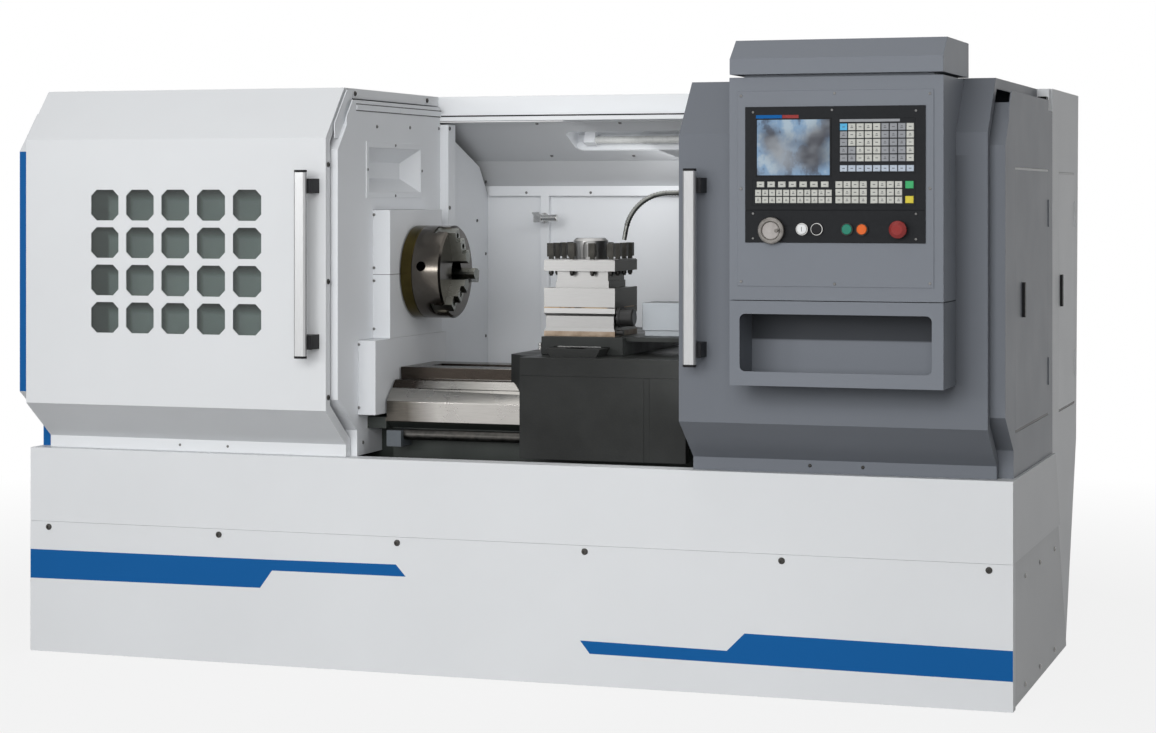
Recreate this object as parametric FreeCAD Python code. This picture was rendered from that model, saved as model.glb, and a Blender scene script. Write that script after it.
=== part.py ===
import FreeCAD, Part

import math
import os

# Full-guard turning lathe with a computer control, at its real size in millimetres.
# X runs along the spindle from the headstock end to the tailstock end, Y from the operator
# to the rear and Z up.  Sub-parts are drawn with X = 0 at the left end of the chip tray,
# Y = 0 at the tray's front and Z = 0 at the floor.  They are all moved at the end, so that
# the origin is the bottom centre of the whole machine.

V = FreeCAD.Vector
X_AXIS, Y_AXIS, Z_AXIS = V(1, 0, 0), V(0, 1, 0), V(0, 0, 1)

# Overall
LENGTH = 3000.0             # chip tray, end to end
SHEET = 3.0                 # sheet metal of guards, panels and boxes
SEAT = 0.4                  # gap between pieces that rest on or slide past each other
RUN = 0.05                  # radial clearance of a shaft in its bore
FLOOR_GAP = 3.0             # lower panels above the floor

# Base and chip tray
BASE_TOP = 400.0            # seam between lower panels and tray
TRAY_TOP = 624.0
TRAY_DEPTH = 1200.0
TRAY_RIM = 60.0             # flange turned inwards round the tray's top
TRAY_FLOOR_START = 1070.0   # left of this the base is open for the drive
BASE_REAR = 1090.0          # rear of the base at the floor
CORNER_WRAP = 42.0          # front panel's return round each corner

BASE_SIDE_INSET = 6.0       # right side panel stands this far inside the front panel's corner

# Coolant tank
TANK_LENGTH = 800.0
TANK_TOP = 250.0
TANK_WALL = 4.0
TANK_PAST_STAND = 260.0     # tank's right end past the right stand's left end
TANK_REAR = 1075.0
PUMP_HEIGHT = 134.0

# Electrical cabinet at the right rear
CABINET_LEFT_SETBACK = 550.0
CABINET_FRONT = 813.0
CABINET_REAR = 1400.0
CABINET_TOP = 1713.0
CABINET_KNEE = (1345.0, 620.0)
END_SETBACK = 10.0          # right side faces stand this far inside the tray's end

# Spindle and headstock
SPINDLE_Y = 400.0
SPINDLE_Z = 1161.0
SPINDLE_BORE_R = 38.0
JOURNAL_R = 65.0
NOSE_R = 95.0
NOSE_THICK = 36.0
SPINDLE_START = 60.0
CHUCK_X = 1113.0            # chuck's rear face
CHUCK_R = 141.0
CHUCK_LENGTH = 128.0
BACKPLATE = 38.0
KEY_HOLE_X = 68.0           # from the chuck's rear face
KEY_HOLE_R = 15.0
JAW_COUNT = 3
JAW_FIRST_ANGLE = 112.0     # from +Y towards +Z
JAW_WIDTH = 34.0
JAW_TONGUE = 8.0
JAW_TRAVEL_IN = 10.0
JAW_START = 30.0            # jaws' inner ends from the spindle's axis
JAW_END_INSET = 5.0         # jaws' outer ends inside the chuck's rim
JAW_STEPS = ((30.0, 46.0), (66.0, 35.0), (104.0, 22.0))     # start and rise of each step
HEAD_START = 260.0
HEAD_END = 1000.0
HEAD_TOP = 1338.0
HEAD_HALF = 235.0
HEAD_WALL = 24.0
DECK_Z = 735.0              # bed's deck under the headstock
LOW_COVER_Z = 745.0         # foot of the cover below the headstock's nose

# Spindle drive
PULLEY_X = 110.0
PULLEY_WIDTH = 90.0
SPINDLE_PULLEY_R = 115.0
MOTOR_PULLEY_R = 60.0
MOTOR_Y, MOTOR_Z = 860.0, 235.0
MOTOR_R = 125.0
MOTOR_START = 300.0
MOTOR_LENGTH = 380.0
MOTOR_SHAFT_R = 21.0
BELT_THICK = 8.0
BELT_RIBS = 2

# Bed
BED_START = 220.0
WAY_START = 1115.0
BED_END_SETBACK = 240.0
BED_HALF = 250.0
BED_FOOT_Z = BASE_TOP + 50.0
BED_WEB = 50.0              # side webs stand this far inside the outer ways
FACE_LOW, FACE_HIGH = 722.0, 782.0
OUTER_WAY_Z = 842.0
INNER_WAY_Z = 877.0
INNER_HALF = 138.0
CHIP_SLOT_HALF = 46.0
CHIP_POCKETS = 5
CHIP_GROOVE = 52.0
RIB = 44.0

# Pedestals
PEDESTAL_LENGTH = 760.0
PEDESTAL_START = 250.0
PEDESTAL_HALF = 215.0
PEDESTAL_WALL = 26.0
ARCH_INSET = 170.0
ARCH_Z = (90.0, 360.0)
ARCH_CHAMFER = 60.0
FOOT_HALF = 280.0
FOOT_THICK = 38.0
ANCHOR_R = 13.0
ANCHOR_INSET_X = 60.0
ANCHOR_INSET_Y = 30.0

# Carriage
SADDLE_X = 1562.0
SADDLE_LENGTH = 500.0
SADDLE_FRONT = 78.0
SADDLE_REAR = 800.0
SADDLE_TOP = 925.0
SADDLE_LIP_Z = 873.0
SADDLE_WING = 80.0
APRON_BOTTOM = 632.0
APRON_GROOVE_X = 376.0
Z_SCREW_Y, Z_SCREW_Z = 150.0, 685.0
Z_SCREW_R = 16.0
NUT_R = 28.0
X_SCREW_Z = 900.0
X_SCREW_R = 10.0
DOVETAIL_TOP = 170.0
DOVETAIL_RISE = 24.0
DOVETAIL_UNDERCUT = 14.0

# Cross slide and tool turret
CROSS_X = 1578.0
CROSS_WIDTH = 252.0
CROSS_FRONT = 222.0
CROSS_LENGTH = 600.0
CROSS_TOP = 979.0
TURRET_SIZE = 220.0
TURRET_Y = 360.0
TURRET_BASE = 86.0
TOOL_PLATE = 56.0
TOOL_GAP = 50.0             # height of the tool slots
CLAMP_PLATE = 34.0
NECK_SIZE = 158.0
CLAMP_RISE = 48.0
CLAMP_EDGE = 17.0
CLAMP_ALONG = (17.0, 82.0, 145.0)
CAP_R = 52.0
CAP_RISE = 62.0

# Coolant hose, from its foot on the saddle to its nozzle
HOSE_PATH = [V(2044, 560, SADDLE_TOP + 24), V(2044, 560, 1400), V(1782, 474, 1402),
             V(1757, 468, 1260)]
HOSE_BEND = 110.0           # from a path's corner to where its bend starts
HOSE_R = 7.0

# Tailstock
TAIL_LENGTH = 320.0
TAIL_END_SETBACK = 280.0
QUILL_R = 38.0
QUILL_OUT = 40.0
BARREL_R = 74.0
TAIL_WHEEL_R = 105.0

# Doors and fixed guards: one folded profile, the guards inside the doors
DOOR_FOOT_Y = 35.0
DOOR_FACE_Y = -110.0
DOOR_FOLDS_Z = (660.0, 770.0, 1561.0)
DOOR_TOP = 1711.0
DOOR_ROOF_FRONT = 22.0
LEFT_DOOR = (50.0, 1035.0)
RIGHT_DOOR_START = 2097.0
RIGHT_DOOR_SETBACK = 50.0
DOOR_RETURN = 30.0
GUARD_FOOT_Y = 70.0
GUARD_FACE_Y = -70.0
GUARD_FOLDS_Z = (700.0, 800.0, 1527.0)
GUARD_TOP = 1645.0
GUARD_ROOF_FRONT = 35.0
GUARD_END = 1055.0
END_GUARD_WIDTH = 26.0
BAR_HOLE_MARGIN = 12.0      # end guard's hole for bar stock, past the spindle's bore
UPSTAND_Y = 60.0            # strips on the guards' roofs start here
UPSTAND_TOP = 1676.0
REAR_WALL_Y = 1171.0
REAR_WALL_TOP = 1425.0
HOOD_FOLD = (1105.0, 1508.0)
HOOD_FRONT_Z = 1628.0
REAR_BAR = 22.0             # depth of the rear wall's frame bars
REAR_BAR_Z = (1393.0, 1425.0)
REAR_UPRIGHTS_X = (1250.0, 1990.0)
REAR_UPRIGHT_WIDTH = 29.0

# Lamp in the hood, measured down the hood's slope and out of its sheet
LAMP_X = (1422.0, 2122.0)
LAMP_DOWN = (79.0, 231.0)
LAMP_CORNER = 30.0
LAMP_HEIGHT = 60.0
LAMP_TUBE = (200.0, 24.0)
LAMP_TUBE_R = 12.0
HOLDER_INSET = 33.0
HOLDER_WIDTH = 36.0

# Top rail
RAIL_FRONT, RAIL_REAR = 770.0, 812.0
RAIL_LEDGE = 735.0
RAIL_LEDGE_Z = (1632.0, 1655.0)

# Window grid of the left door
GRID_COLS, GRID_ROWS = 5, 4
GRID_X, GRID_Z = 271.0, 985.0
GRID_PITCH_X, GRID_PITCH_Z = 116.8, 111.5
GRID_HOLE = 91.0
GRID_CHAMFER = 18.0
PANE = 5.0
PANE_MARGIN = 22.0

# Door handles
HANDLE_WIDTH = 36.0
HANDLE_DEPTH = 16.0
HANDLE_FRONT = -186.0
HANDLE_Z = (925.0, 1467.0)
HANDLE_CAP = 7.0
HANDLE_INSET = 50.0
STANDOFF_INSET = 46.0
STANDOFF_X = (-10.0, 30.0)  # about the bar's middle
STANDOFF_HALF = 21.0

# Control box and its panel, measured from the right door's left edge
BOX_LEFT, BOX_RIGHT = 193.0, 768.0
BOX_FRONT = -290.0
BOX_Z = (1115.0, 1707.0)
STORE_Z = (887.0, 1113.0)
STORE_HOLE_X = (221.0, 737.0)
STORE_HOLE_Z = (925.0, 1078.0)
STORE_CORNER = 15.0
CAP_FRONT = -310.0
CAP_BAND = 42.0
CAP_Z = (1714.0, 1808.0)
CAP_REAR = 70.0
CAP_SIDE = 5.0
PLATE_X = (216.0, 743.0)
PLATE_Z = (1152.0, 1670.0)
PANEL_X = (238.0, 722.0)
PANEL_Z = (1268.0, 1628.0)
PANEL_THICK = 4.0
PANEL_DIVIDER_Z = 1354.0
SCREEN_X = (269.0, 469.0)
SCREEN_Z = (1445.0, 1595.0)
KEYPAD_X = (494.0, 695.0)
KEYPAD_Z = (1452.0, 1595.0)
KEY_ROW_X = (258.0, 695.0)
KEY_ROW_Z = (1366.0, 1432.0)
DIAL_X, DIAL_Z, DIAL_R = 312.0, 1300.0, 35.0
DIAL_SHAFT_R = 6.0
BUTTON_Z = 1304.0
BUTTON_X = {"start_button": 394.0, "hold_button": 434.0,
            "power_on_button": 515.0, "power_off_button": 555.0}
BUTTON_R = 13.5
BUTTON_BEZEL_R = 16.0
BUTTON_TRAVEL = 4.0
STOP_X = 653.0
STOP_R = 23.0
STOP_NECK_R = 12.0
STOP_TRAVEL = 6.0
BUTTON_GAP = 0.3

# Side doors
SERVICE_DOOR_Y, SERVICE_DOOR_Z = (100.0, 720.0), (745.0, 1471.0)
CABINET_DOOR_Y, CABINET_DOOR_Z = (948.0, 1302.0), (735.0, 1465.0)
DOOR_EDGE_GAP = 0.8
LATCH_LENGTH = 97.0
LATCH_WIDTH = 22.0
LATCH_THICK = 8.0
LATCH_Z = 1104.0
SERVICE_LATCH_Y = 232.0
CABINET_LATCH_Y = 984.0
LATCH_SHAFT_R = 7.0
KNUCKLE_R = 3.0
KNUCKLE_LENGTH = 40.0
HINGE_INSET = 90.0

# Worked out from the sizes above
RIGHT_FACE = LENGTH - END_SETBACK
CABINET_LEFT = LENGTH - CABINET_LEFT_SETBACK
BED_END = LENGTH - BED_END_SETBACK
RIGHT_DOOR = (RIGHT_DOOR_START, LENGTH - RIGHT_DOOR_SETBACK)
CHUCK_FACE = CHUCK_X + CHUCK_LENGTH
TURRET_X = CROSS_X - 1.0 + TURRET_SIZE / 2
RIGHT_STAND = BED_END - PEDESTAL_LENGTH - 60.0
TAIL_X = LENGTH - TAIL_END_SETBACK - TAIL_LENGTH
PLATE_FACE = BOX_FRONT - SHEET
PANEL_FACE = PLATE_FACE - PANEL_THICK


def box(x0, x1, y0, y1, z0, z1):
    return Part.makeBox(x1 - x0, y1 - y0, z1 - z0, V(x0, y0, z0))


def prism(points, direction):
    return Part.Face(Part.makePolygon(points + points[:1])).extrude(direction)


def prism_x(yz, x0, x1):
    return prism([V(x0, y, z) for y, z in yz], V(x1 - x0, 0, 0))


def prism_y(xz, y0, y1):
    return prism([V(x, y0, z) for x, z in xz], V(0, y1 - y0, 0))


def prism_z(xy, z0, z1):
    return prism([V(x, y, z0) for x, y in xy], V(0, 0, z1 - z0))


def rod(start, axis, length, radius):
    return Part.makeCylinder(radius, length, V(*start), axis)


def turned(profile, centre, axis, side):
    """Solid of revolution of (distance along axis, radius) points."""
    base = V(*centre)
    points = [base + axis * along + side * radius for along, radius in profile]
    return Part.Face(Part.makePolygon(points + points[:1])).revolve(base, axis, 360)


def fuse(shapes):
    return shapes[0].multiFuse(shapes[1:]).removeSplitter()


def cut(shape, tools):
    return shape.cut(Part.makeCompound(tools))


def group(shapes):
    return Part.makeCompound(shapes)


def inset(points, distance, closed=False):
    """Path moved to its right-hand side by one distance, with mitred corners."""
    count = len(points)
    moved = []
    for i, (a, b) in enumerate(points):
        normals = []
        for j, k in ((i - 1, i), (i, i + 1)):
            if closed or (j >= 0 and k < count):
                p, q = points[j % count], points[k % count]
                run = math.hypot(q[0] - p[0], q[1] - p[1])
                normals.append(((q[1] - p[1]) / run, (p[0] - q[0]) / run))
        if len(normals) == 1:
            normals = normals * 2
        (na, nb), (ma, mb) = normals
        scale = distance / (1 + na * ma + nb * mb)
        moved.append((a + (na + ma) * scale, b + (nb + mb) * scale))
    return moved


def ribbon(points, thickness):
    """Closed outline of a folded sheet whose outer side follows the points."""
    return points + inset(points, thickness)[::-1]


def chamfered_square(x, z, size, corner):
    """Octagon with its low corner at x, z."""
    a, b = corner, size - corner
    steps = [(a, 0), (b, 0), (size, a), (size, b), (b, size), (a, size), (0, b), (0, a)]
    return [(x + dx, z + dz) for dx, dz in steps]


def base_rear(z):
    """The base's rear edge leans forward from the floor to the tray's top."""
    return BASE_REAR - (BASE_REAR - CABINET_FRONT) * z / TRAY_TOP


def door_profile():
    low, front_low, front_high = DOOR_FOLDS_Z
    return [(DOOR_FOOT_Y, TRAY_TOP + SEAT), (DOOR_FOOT_Y, low), (DOOR_FACE_Y, front_low),
            (DOOR_FACE_Y, front_high), (DOOR_ROOF_FRONT, DOOR_TOP),
            (RAIL_FRONT - SEAT, DOOR_TOP), (RAIL_FRONT - SEAT, RAIL_LEDGE_Z[1] + SEAT)]


def guard_profile():
    low, front_low, front_high = GUARD_FOLDS_Z
    return [(GUARD_FOOT_Y, TRAY_TOP), (GUARD_FOOT_Y, low), (GUARD_FACE_Y, front_low),
            (GUARD_FACE_Y, front_high), (GUARD_ROOF_FRONT, GUARD_TOP),
            (RAIL_LEDGE - SEAT, GUARD_TOP)]


# Castings -------------------------------------------------------------------------------

def bed_section():
    y, web = SPINDLE_Y, BED_HALF - BED_WEB
    flank = OUTER_WAY_Z - FACE_HIGH
    step = 6.0
    front = [(y - web, BED_FOOT_Z), (y - web, FACE_LOW - 22), (y - BED_HALF, FACE_LOW),
             (y - BED_HALF, FACE_HIGH),
             (y - BED_HALF + 0.6 * flank, FACE_HIGH + 0.6 * flank),
             (y - BED_HALF + 0.6 * flank + step, FACE_HIGH + 0.6 * flank),
             (y - BED_HALF + flank + step, OUTER_WAY_Z),
             (y - INNER_HALF, OUTER_WAY_Z), (y - INNER_HALF, INNER_WAY_Z)]
    rear = [(y + INNER_HALF, INNER_WAY_Z), (y + INNER_HALF, OUTER_WAY_Z),
            (y + BED_HALF, OUTER_WAY_Z), (y + BED_HALF, FACE_LOW),
            (y + web, FACE_LOW - 22), (y + web, BED_FOOT_Z)]
    return front + rear


def bed_casting():
    y = SPINDLE_Y
    body = prism_x(bed_section(), WAY_START, BED_END)
    deck = box(BED_START, WAY_START, y - BED_HALF, y + BED_HALF, DECK_Z - 35, DECK_Z)
    plinth = box(BED_START, WAY_START, y - BED_HALF + 110, y + BED_HALF - BED_WEB,
                 BED_FOOT_Z, DECK_Z - 35)
    first, last = WAY_START + 60, BED_END - 60
    pitch = (last - first + RIB) / CHIP_POCKETS
    openings = []
    for i in range(CHIP_POCKETS):
        x0 = first + i * pitch
        x1 = x0 + pitch - RIB
        openings.append(box(x0, x1, y - CHIP_SLOT_HALF, y + CHIP_SLOT_HALF,
                            BED_FOOT_Z - 1, INNER_WAY_Z + 1))
        openings.append(box(x0, x1, y - BED_HALF + BED_WEB + 30, y + BED_HALF - BED_WEB - 30,
                            BED_FOOT_Z - 1, FACE_LOW - 40))
    openings.append(box(first, last, y - CHIP_SLOT_HALF, y + CHIP_SLOT_HALF,
                        INNER_WAY_Z - CHIP_GROOVE, INNER_WAY_Z + 1))
    openings.append(box(BED_START + 40, WAY_START - 60, y - 100, y + 160,
                        BED_FOOT_Z - 1, DECK_Z - 60))
    return cut(fuse([body, deck, plinth]), openings)


def pedestal(x0, arches):
    """Hollow stand with a broad foot, arched walls and four anchor holes."""
    x1, y = x0 + PEDESTAL_LENGTH, SPINDLE_Y
    wall, half = PEDESTAL_WALL, PEDESTAL_HALF
    flare = [(y - half - 30, 0), (y - half, 130), (y - half, BED_FOOT_Z),
             (y + half, BED_FOOT_Z), (y + half, 130), (y + half + 30, 0)]
    stand = prism_x(flare, x0 + 30, x1 - 30)
    foot = box(x0, x1, y - FOOT_HALF, y + FOOT_HALF, 0, FOOT_THICK)
    core = box(x0 + 30 + wall, x1 - 30 - wall, y - half + wall, y + half - wall, -1,
               BED_FOOT_Z - wall)
    left, right = x0 + ARCH_INSET, x1 - ARCH_INSET
    low, high = ARCH_Z
    outline = [(left, low), (right, low), (right, high - ARCH_CHAMFER),
               (right - ARCH_CHAMFER, high), (left + ARCH_CHAMFER, high),
               (left, high - ARCH_CHAMFER)]
    spans = {"front": (y - FOOT_HALF, y), "rear": (y, y + FOOT_HALF)}
    tools = [prism_y(outline, *spans[side]) for side in arches]
    for x in (x0 + ANCHOR_INSET_X, x1 - ANCHOR_INSET_X):
        for hole_y in (y - FOOT_HALF + ANCHOR_INSET_Y, y + FOOT_HALF - ANCHOR_INSET_Y):
            tools.append(rod((x, hole_y, -1), Z_AXIS, FOOT_THICK + 2, ANCHOR_R))
    return cut(fuse([stand, foot]), [core] + tools)


def pedestals():
    return group([pedestal(PEDESTAL_START, ["front"]),
                  pedestal(RIGHT_STAND, ["front", "rear"])])


def headstock_housing():
    y, z = SPINDLE_Y, SPINDLE_Z
    bevel = 46.0
    outline = [(y - HEAD_HALF, DECK_Z), (y - HEAD_HALF, DECK_Z + 34),
               (y - HEAD_HALF + 24, DECK_Z + 34), (y - HEAD_HALF + 24, HEAD_TOP - bevel),
               (y - HEAD_HALF + 24 + bevel, HEAD_TOP), (y + HEAD_HALF - 24 - bevel, HEAD_TOP),
               (y + HEAD_HALF - 24, HEAD_TOP - bevel), (y + HEAD_HALF - 24, DECK_Z + 34),
               (y + HEAD_HALF, DECK_Z + 34), (y + HEAD_HALF, DECK_Z)]
    shell = prism_x(outline, HEAD_START, HEAD_END)
    core = box(HEAD_START + HEAD_WALL, HEAD_END - HEAD_WALL, y - HEAD_HALF + 24 + HEAD_WALL,
               y + HEAD_HALF - 24 - HEAD_WALL, DECK_Z + HEAD_WALL, HEAD_TOP - bevel)
    boss_r, boss = JOURNAL_R + 32, 90.0
    bosses = [rod((HEAD_START, y, z), X_AXIS, boss, boss_r),
              rod((HEAD_END - boss, y, z), X_AXIS, boss + 12, boss_r)]
    bore = rod((HEAD_START - 1, y, z), X_AXIS, HEAD_END - HEAD_START + 20, JOURNAL_R + RUN)
    return fuse([shell.cut(core)] + bosses).cut(bore)


# Base and tray --------------------------------------------------------------------------

def tray_body(inner, z0, z1):
    """Tray's plan: full depth up to the cabinet, then a shorter end that leans forward."""
    left, right = inner, LENGTH - inner
    deep = box(left, CABINET_LEFT - inner, inner, TRAY_DEPTH - inner, z0, z1)
    side = [(inner, z0), (base_rear(z0) - inner, z0), (base_rear(z1) - inner, z1), (inner, z1)]
    return deep.fuse(prism_x(side, CABINET_LEFT - inner - 1, right))


def chip_tray():
    walls = tray_body(0, BASE_TOP, TRAY_TOP).cut(tray_body(SHEET, BASE_TOP - 1, TRAY_TOP + 1))
    rim = tray_body(0, TRAY_TOP - SHEET, TRAY_TOP)
    rim = rim.cut(tray_body(TRAY_RIM, TRAY_TOP - SHEET - 1, TRAY_TOP + 1))
    rim_gap = GUARD_FOOT_Y + SHEET - TRAY_RIM
    front_rim = box(0, LENGTH, SHEET, TRAY_RIM + rim_gap, TRAY_TOP - SHEET, TRAY_TOP)
    floor = tray_body(0, BASE_TOP, BASE_TOP + SHEET)
    floor = floor.cut(box(-1, TRAY_FLOOR_START, -1, TRAY_DEPTH + 1, BASE_TOP - 1, BASE_TOP + 9))
    bulkhead = box(TRAY_FLOOR_START, TRAY_FLOOR_START + SHEET, SHEET, TRAY_DEPTH - SHEET,
                   BASE_TOP, TRAY_TOP - 80)
    bulkhead = bulkhead.cut(box(0, LENGTH, SPINDLE_Y - BED_HALF - 12, SPINDLE_Y + BED_HALF + 12,
                                BASE_TOP + SHEET, TRAY_TOP))
    well = box(RIGHT_STAND + 24, RIGHT_STAND + PEDESTAL_LENGTH - 24, SPINDLE_Y - PEDESTAL_HALF - 4,
               SPINDLE_Y + PEDESTAL_HALF + 4, BASE_TOP - 1, BASE_TOP + 9)
    return fuse([walls, rim, front_rim, floor, bulkhead]).cut(well)


def front_base_panel():
    top = BASE_TOP - SEAT
    section = ribbon([(CORNER_WRAP - 12, FLOOR_GAP), (0, FLOOR_GAP), (0, top),
                      (CORNER_WRAP - 12, top)], SHEET)
    ends = [box(x, x + SHEET, 0, CORNER_WRAP, FLOOR_GAP, top) for x in (0, LENGTH - SHEET)]
    return fuse([prism_x(section, 0, LENGTH)] + ends)


def side_base_panels():
    top = BASE_TOP - SEAT
    front = CORNER_WRAP + SEAT
    right = [(front, FLOOR_GAP), (base_rear(FLOOR_GAP), FLOOR_GAP), (base_rear(top), top),
             (front, top)]
    left = [(front, FLOOR_GAP), (BASE_REAR, FLOOR_GAP), (BASE_REAR, top), (front, top)]
    far = LENGTH - BASE_SIDE_INSET
    return group([prism_x(left, 0, SHEET), prism_x(right, far - SHEET, far)])


def coolant_unit():
    """Tank on the floor against the right stand's foot, with its lid and an upright pump."""
    x1, top, wall = RIGHT_STAND + TANK_PAST_STAND, TANK_TOP, TANK_WALL
    x0 = x1 - TANK_LENGTH
    y0, y1 = SPINDLE_Y + FOOT_HALF + SEAT, TANK_REAR
    tank = box(x0, x1, y0, y1, 0, top)
    tank = tank.cut(box(x0 + wall, x1 - wall, y0 + wall, y1 - wall, wall, top + 1))
    lid = box(x0 - 6, x1 + 6, y0, y1 + 6, top, top + 5)
    pump = turned([(0, 0), (0, 78), (10, 78), (10, 60), (PUMP_HEIGHT, 52), (PUMP_HEIGHT, 0)],
                  (x0 + 130, y1 - 120, top + 5), Z_AXIS, X_AXIS)
    return fuse([tank, lid, pump])


# Drive ----------------------------------------------------------------------------------

def grooved_pulley(centre, radius, hub_r):
    """Ribbed pulley: shallow vee grooves between flat lands."""
    land = PULLEY_WIDTH / (2 * BELT_RIBS + 1)
    profile = [(0, hub_r), (0, radius)]
    for i in range(BELT_RIBS):
        start = land * (2 * i + 1)
        profile += [(start, radius), (start + land / 2, radius - 7), (start + land, radius)]
    profile += [(PULLEY_WIDTH, radius), (PULLEY_WIDTH, hub_r)]
    return turned(profile, centre, X_AXIS, Z_AXIS)


def main_motor():
    """Foot-mounted motor on a bracket bolted to the headstock's stand."""
    x0, x1 = MOTOR_START, MOTOR_START + MOTOR_LENGTH
    bore = MOTOR_SHAFT_R + RUN
    profile = [(0, bore), (0, MOTOR_R - 14), (45, MOTOR_R), (MOTOR_LENGTH - 90, MOTOR_R),
               (MOTOR_LENGTH - 90, MOTOR_R - 10), (MOTOR_LENGTH, MOTOR_R - 10),
               (MOTOR_LENGTH, MOTOR_R - 24), (MOTOR_LENGTH - 60, MOTOR_R - 24),
               (MOTOR_LENGTH - 60, 0), (70, 0), (70, bore)]
    body = turned(profile, (x0, MOTOR_Y, MOTOR_Z), X_AXIS, Z_AXIS)
    shelf_z = MOTOR_Z - MOTOR_R - 4
    wall_y = SPINDLE_Y + PEDESTAL_HALF + SEAT
    shelf = box(x0 + 20, x1 - 20, wall_y, MOTOR_Y + MOTOR_R + 6, shelf_z - 18, shelf_z)
    flange = box(x0 + 20, x1 - 20, wall_y, wall_y + 18, 150, BED_FOOT_Z - 40)
    cheeks = [prism_x([(wall_y, shelf_z - 9), (wall_y + 160, shelf_z - 9),
                       (wall_y + 18, BED_FOOT_Z - 60), (wall_y, BED_FOOT_Z - 60)], x, x + 14)
              for x in (x0 + 20, x1 - 34)]
    feet = [box(x, x + 60, MOTOR_Y - 0.8 * MOTOR_R, MOTOR_Y + 0.8 * MOTOR_R, shelf_z,
                MOTOR_Z - 0.7 * MOTOR_R) for x in (x0 + 60, x1 - 170)]
    flare = [(wall_y - 60, -1), (wall_y + 31, -1), (wall_y, 131), (wall_y - 60, 131)]
    return fuse([body, shelf, flange] + cheeks + feet).cut(prism_x(flare, x0 - 10, x1 + 10))


def motor_pulley():
    shaft = rod((PULLEY_X - 12, MOTOR_Y, MOTOR_Z), X_AXIS, MOTOR_START + 68 - PULLEY_X + 12,
                MOTOR_SHAFT_R)
    sheave = grooved_pulley((PULLEY_X, MOTOR_Y, MOTOR_Z), MOTOR_PULLEY_R, MOTOR_SHAFT_R - 1)
    return fuse([shaft, sheave])


def loop_face(x, centre_a, radius_a, centre_b, radius_b):
    """Plane face bounded by a loop round two circles, in the plane of one x."""
    (ya, za), (yb, zb) = centre_a, centre_b
    span = math.hypot(yb - ya, zb - za)
    along = math.atan2(zb - za, yb - ya)
    lean = math.acos((radius_a - radius_b) / span)

    def at(centre, radius, angle):
        return V(x, centre[0] + radius * math.cos(angle), centre[1] + radius * math.sin(angle))

    a_up, a_down = (at(centre_a, radius_a, along + s * lean) for s in (1, -1))
    b_up, b_down = (at(centre_b, radius_b, along + s * lean) for s in (1, -1))
    edges = [Part.Arc(a_up, at(centre_a, radius_a, along + math.pi), a_down).toShape(),
             Part.LineSegment(a_down, b_down).toShape(),
             Part.Arc(b_down, at(centre_b, radius_b, along), b_up).toShape(),
             Part.LineSegment(b_up, a_up).toShape()]
    return Part.Face(Part.Wire(edges))


def drive_belts():
    spindle, motor = (SPINDLE_Y, SPINDLE_Z), (MOTOR_Y, MOTOR_Z)
    land = PULLEY_WIDTH / (2 * BELT_RIBS + 1)
    belts = []
    for i in range(BELT_RIBS):
        x = PULLEY_X + land * (2 * i + 1)
        inner = loop_face(x, spindle, SPINDLE_PULLEY_R + SEAT, motor, MOTOR_PULLEY_R + SEAT)
        outer = loop_face(x, spindle, SPINDLE_PULLEY_R + BELT_THICK, motor,
                          MOTOR_PULLEY_R + BELT_THICK)
        belts.append(outer.cut(inner).extrude(V(land, 0, 0)))
    return group(belts)


def spindle():
    nose = CHUCK_X - SPINDLE_START
    hub = PULLEY_X - SPINDLE_START
    profile = [(0, SPINDLE_BORE_R), (0, JOURNAL_R - 8), (hub, JOURNAL_R - 8), (hub, JOURNAL_R),
               (nose - NOSE_THICK, JOURNAL_R), (nose - NOSE_THICK, NOSE_R), (nose, NOSE_R),
               (nose, SPINDLE_BORE_R)]
    shaft = turned(profile, (SPINDLE_START, SPINDLE_Y, SPINDLE_Z), X_AXIS, Z_AXIS)
    sheave = grooved_pulley((PULLEY_X, SPINDLE_Y, SPINDLE_Z), SPINDLE_PULLEY_R, JOURNAL_R - 1)
    return fuse([shaft, sheave])


# Chuck ----------------------------------------------------------------------------------

def around_spindle(shape, degrees):
    turned_shape = shape.copy()
    turned_shape.rotate(V(0, SPINDLE_Y, SPINDLE_Z), X_AXIS, degrees)
    return turned_shape


def jaw_angles():
    return [JAW_FIRST_ANGLE + i * 360 / JAW_COUNT for i in range(JAW_COUNT)]


def radial_tee(width, tongue, depth, thick, x_face, r0, r1):
    """Tee-shaped bar that runs out along +Y from the spindle's centre line."""
    half, back = width / 2, x_face - depth
    step = back + thick
    section = [(x_face, -half), (step, -half), (step, -half - tongue), (back, -half - tongue),
               (back, half + tongue), (step, half + tongue), (step, half), (x_face, half)]
    points = [V(x, SPINDLE_Y + r0, SPINDLE_Z + w) for x, w in section]
    return prism(points, V(0, r1 - r0, 0))


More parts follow.
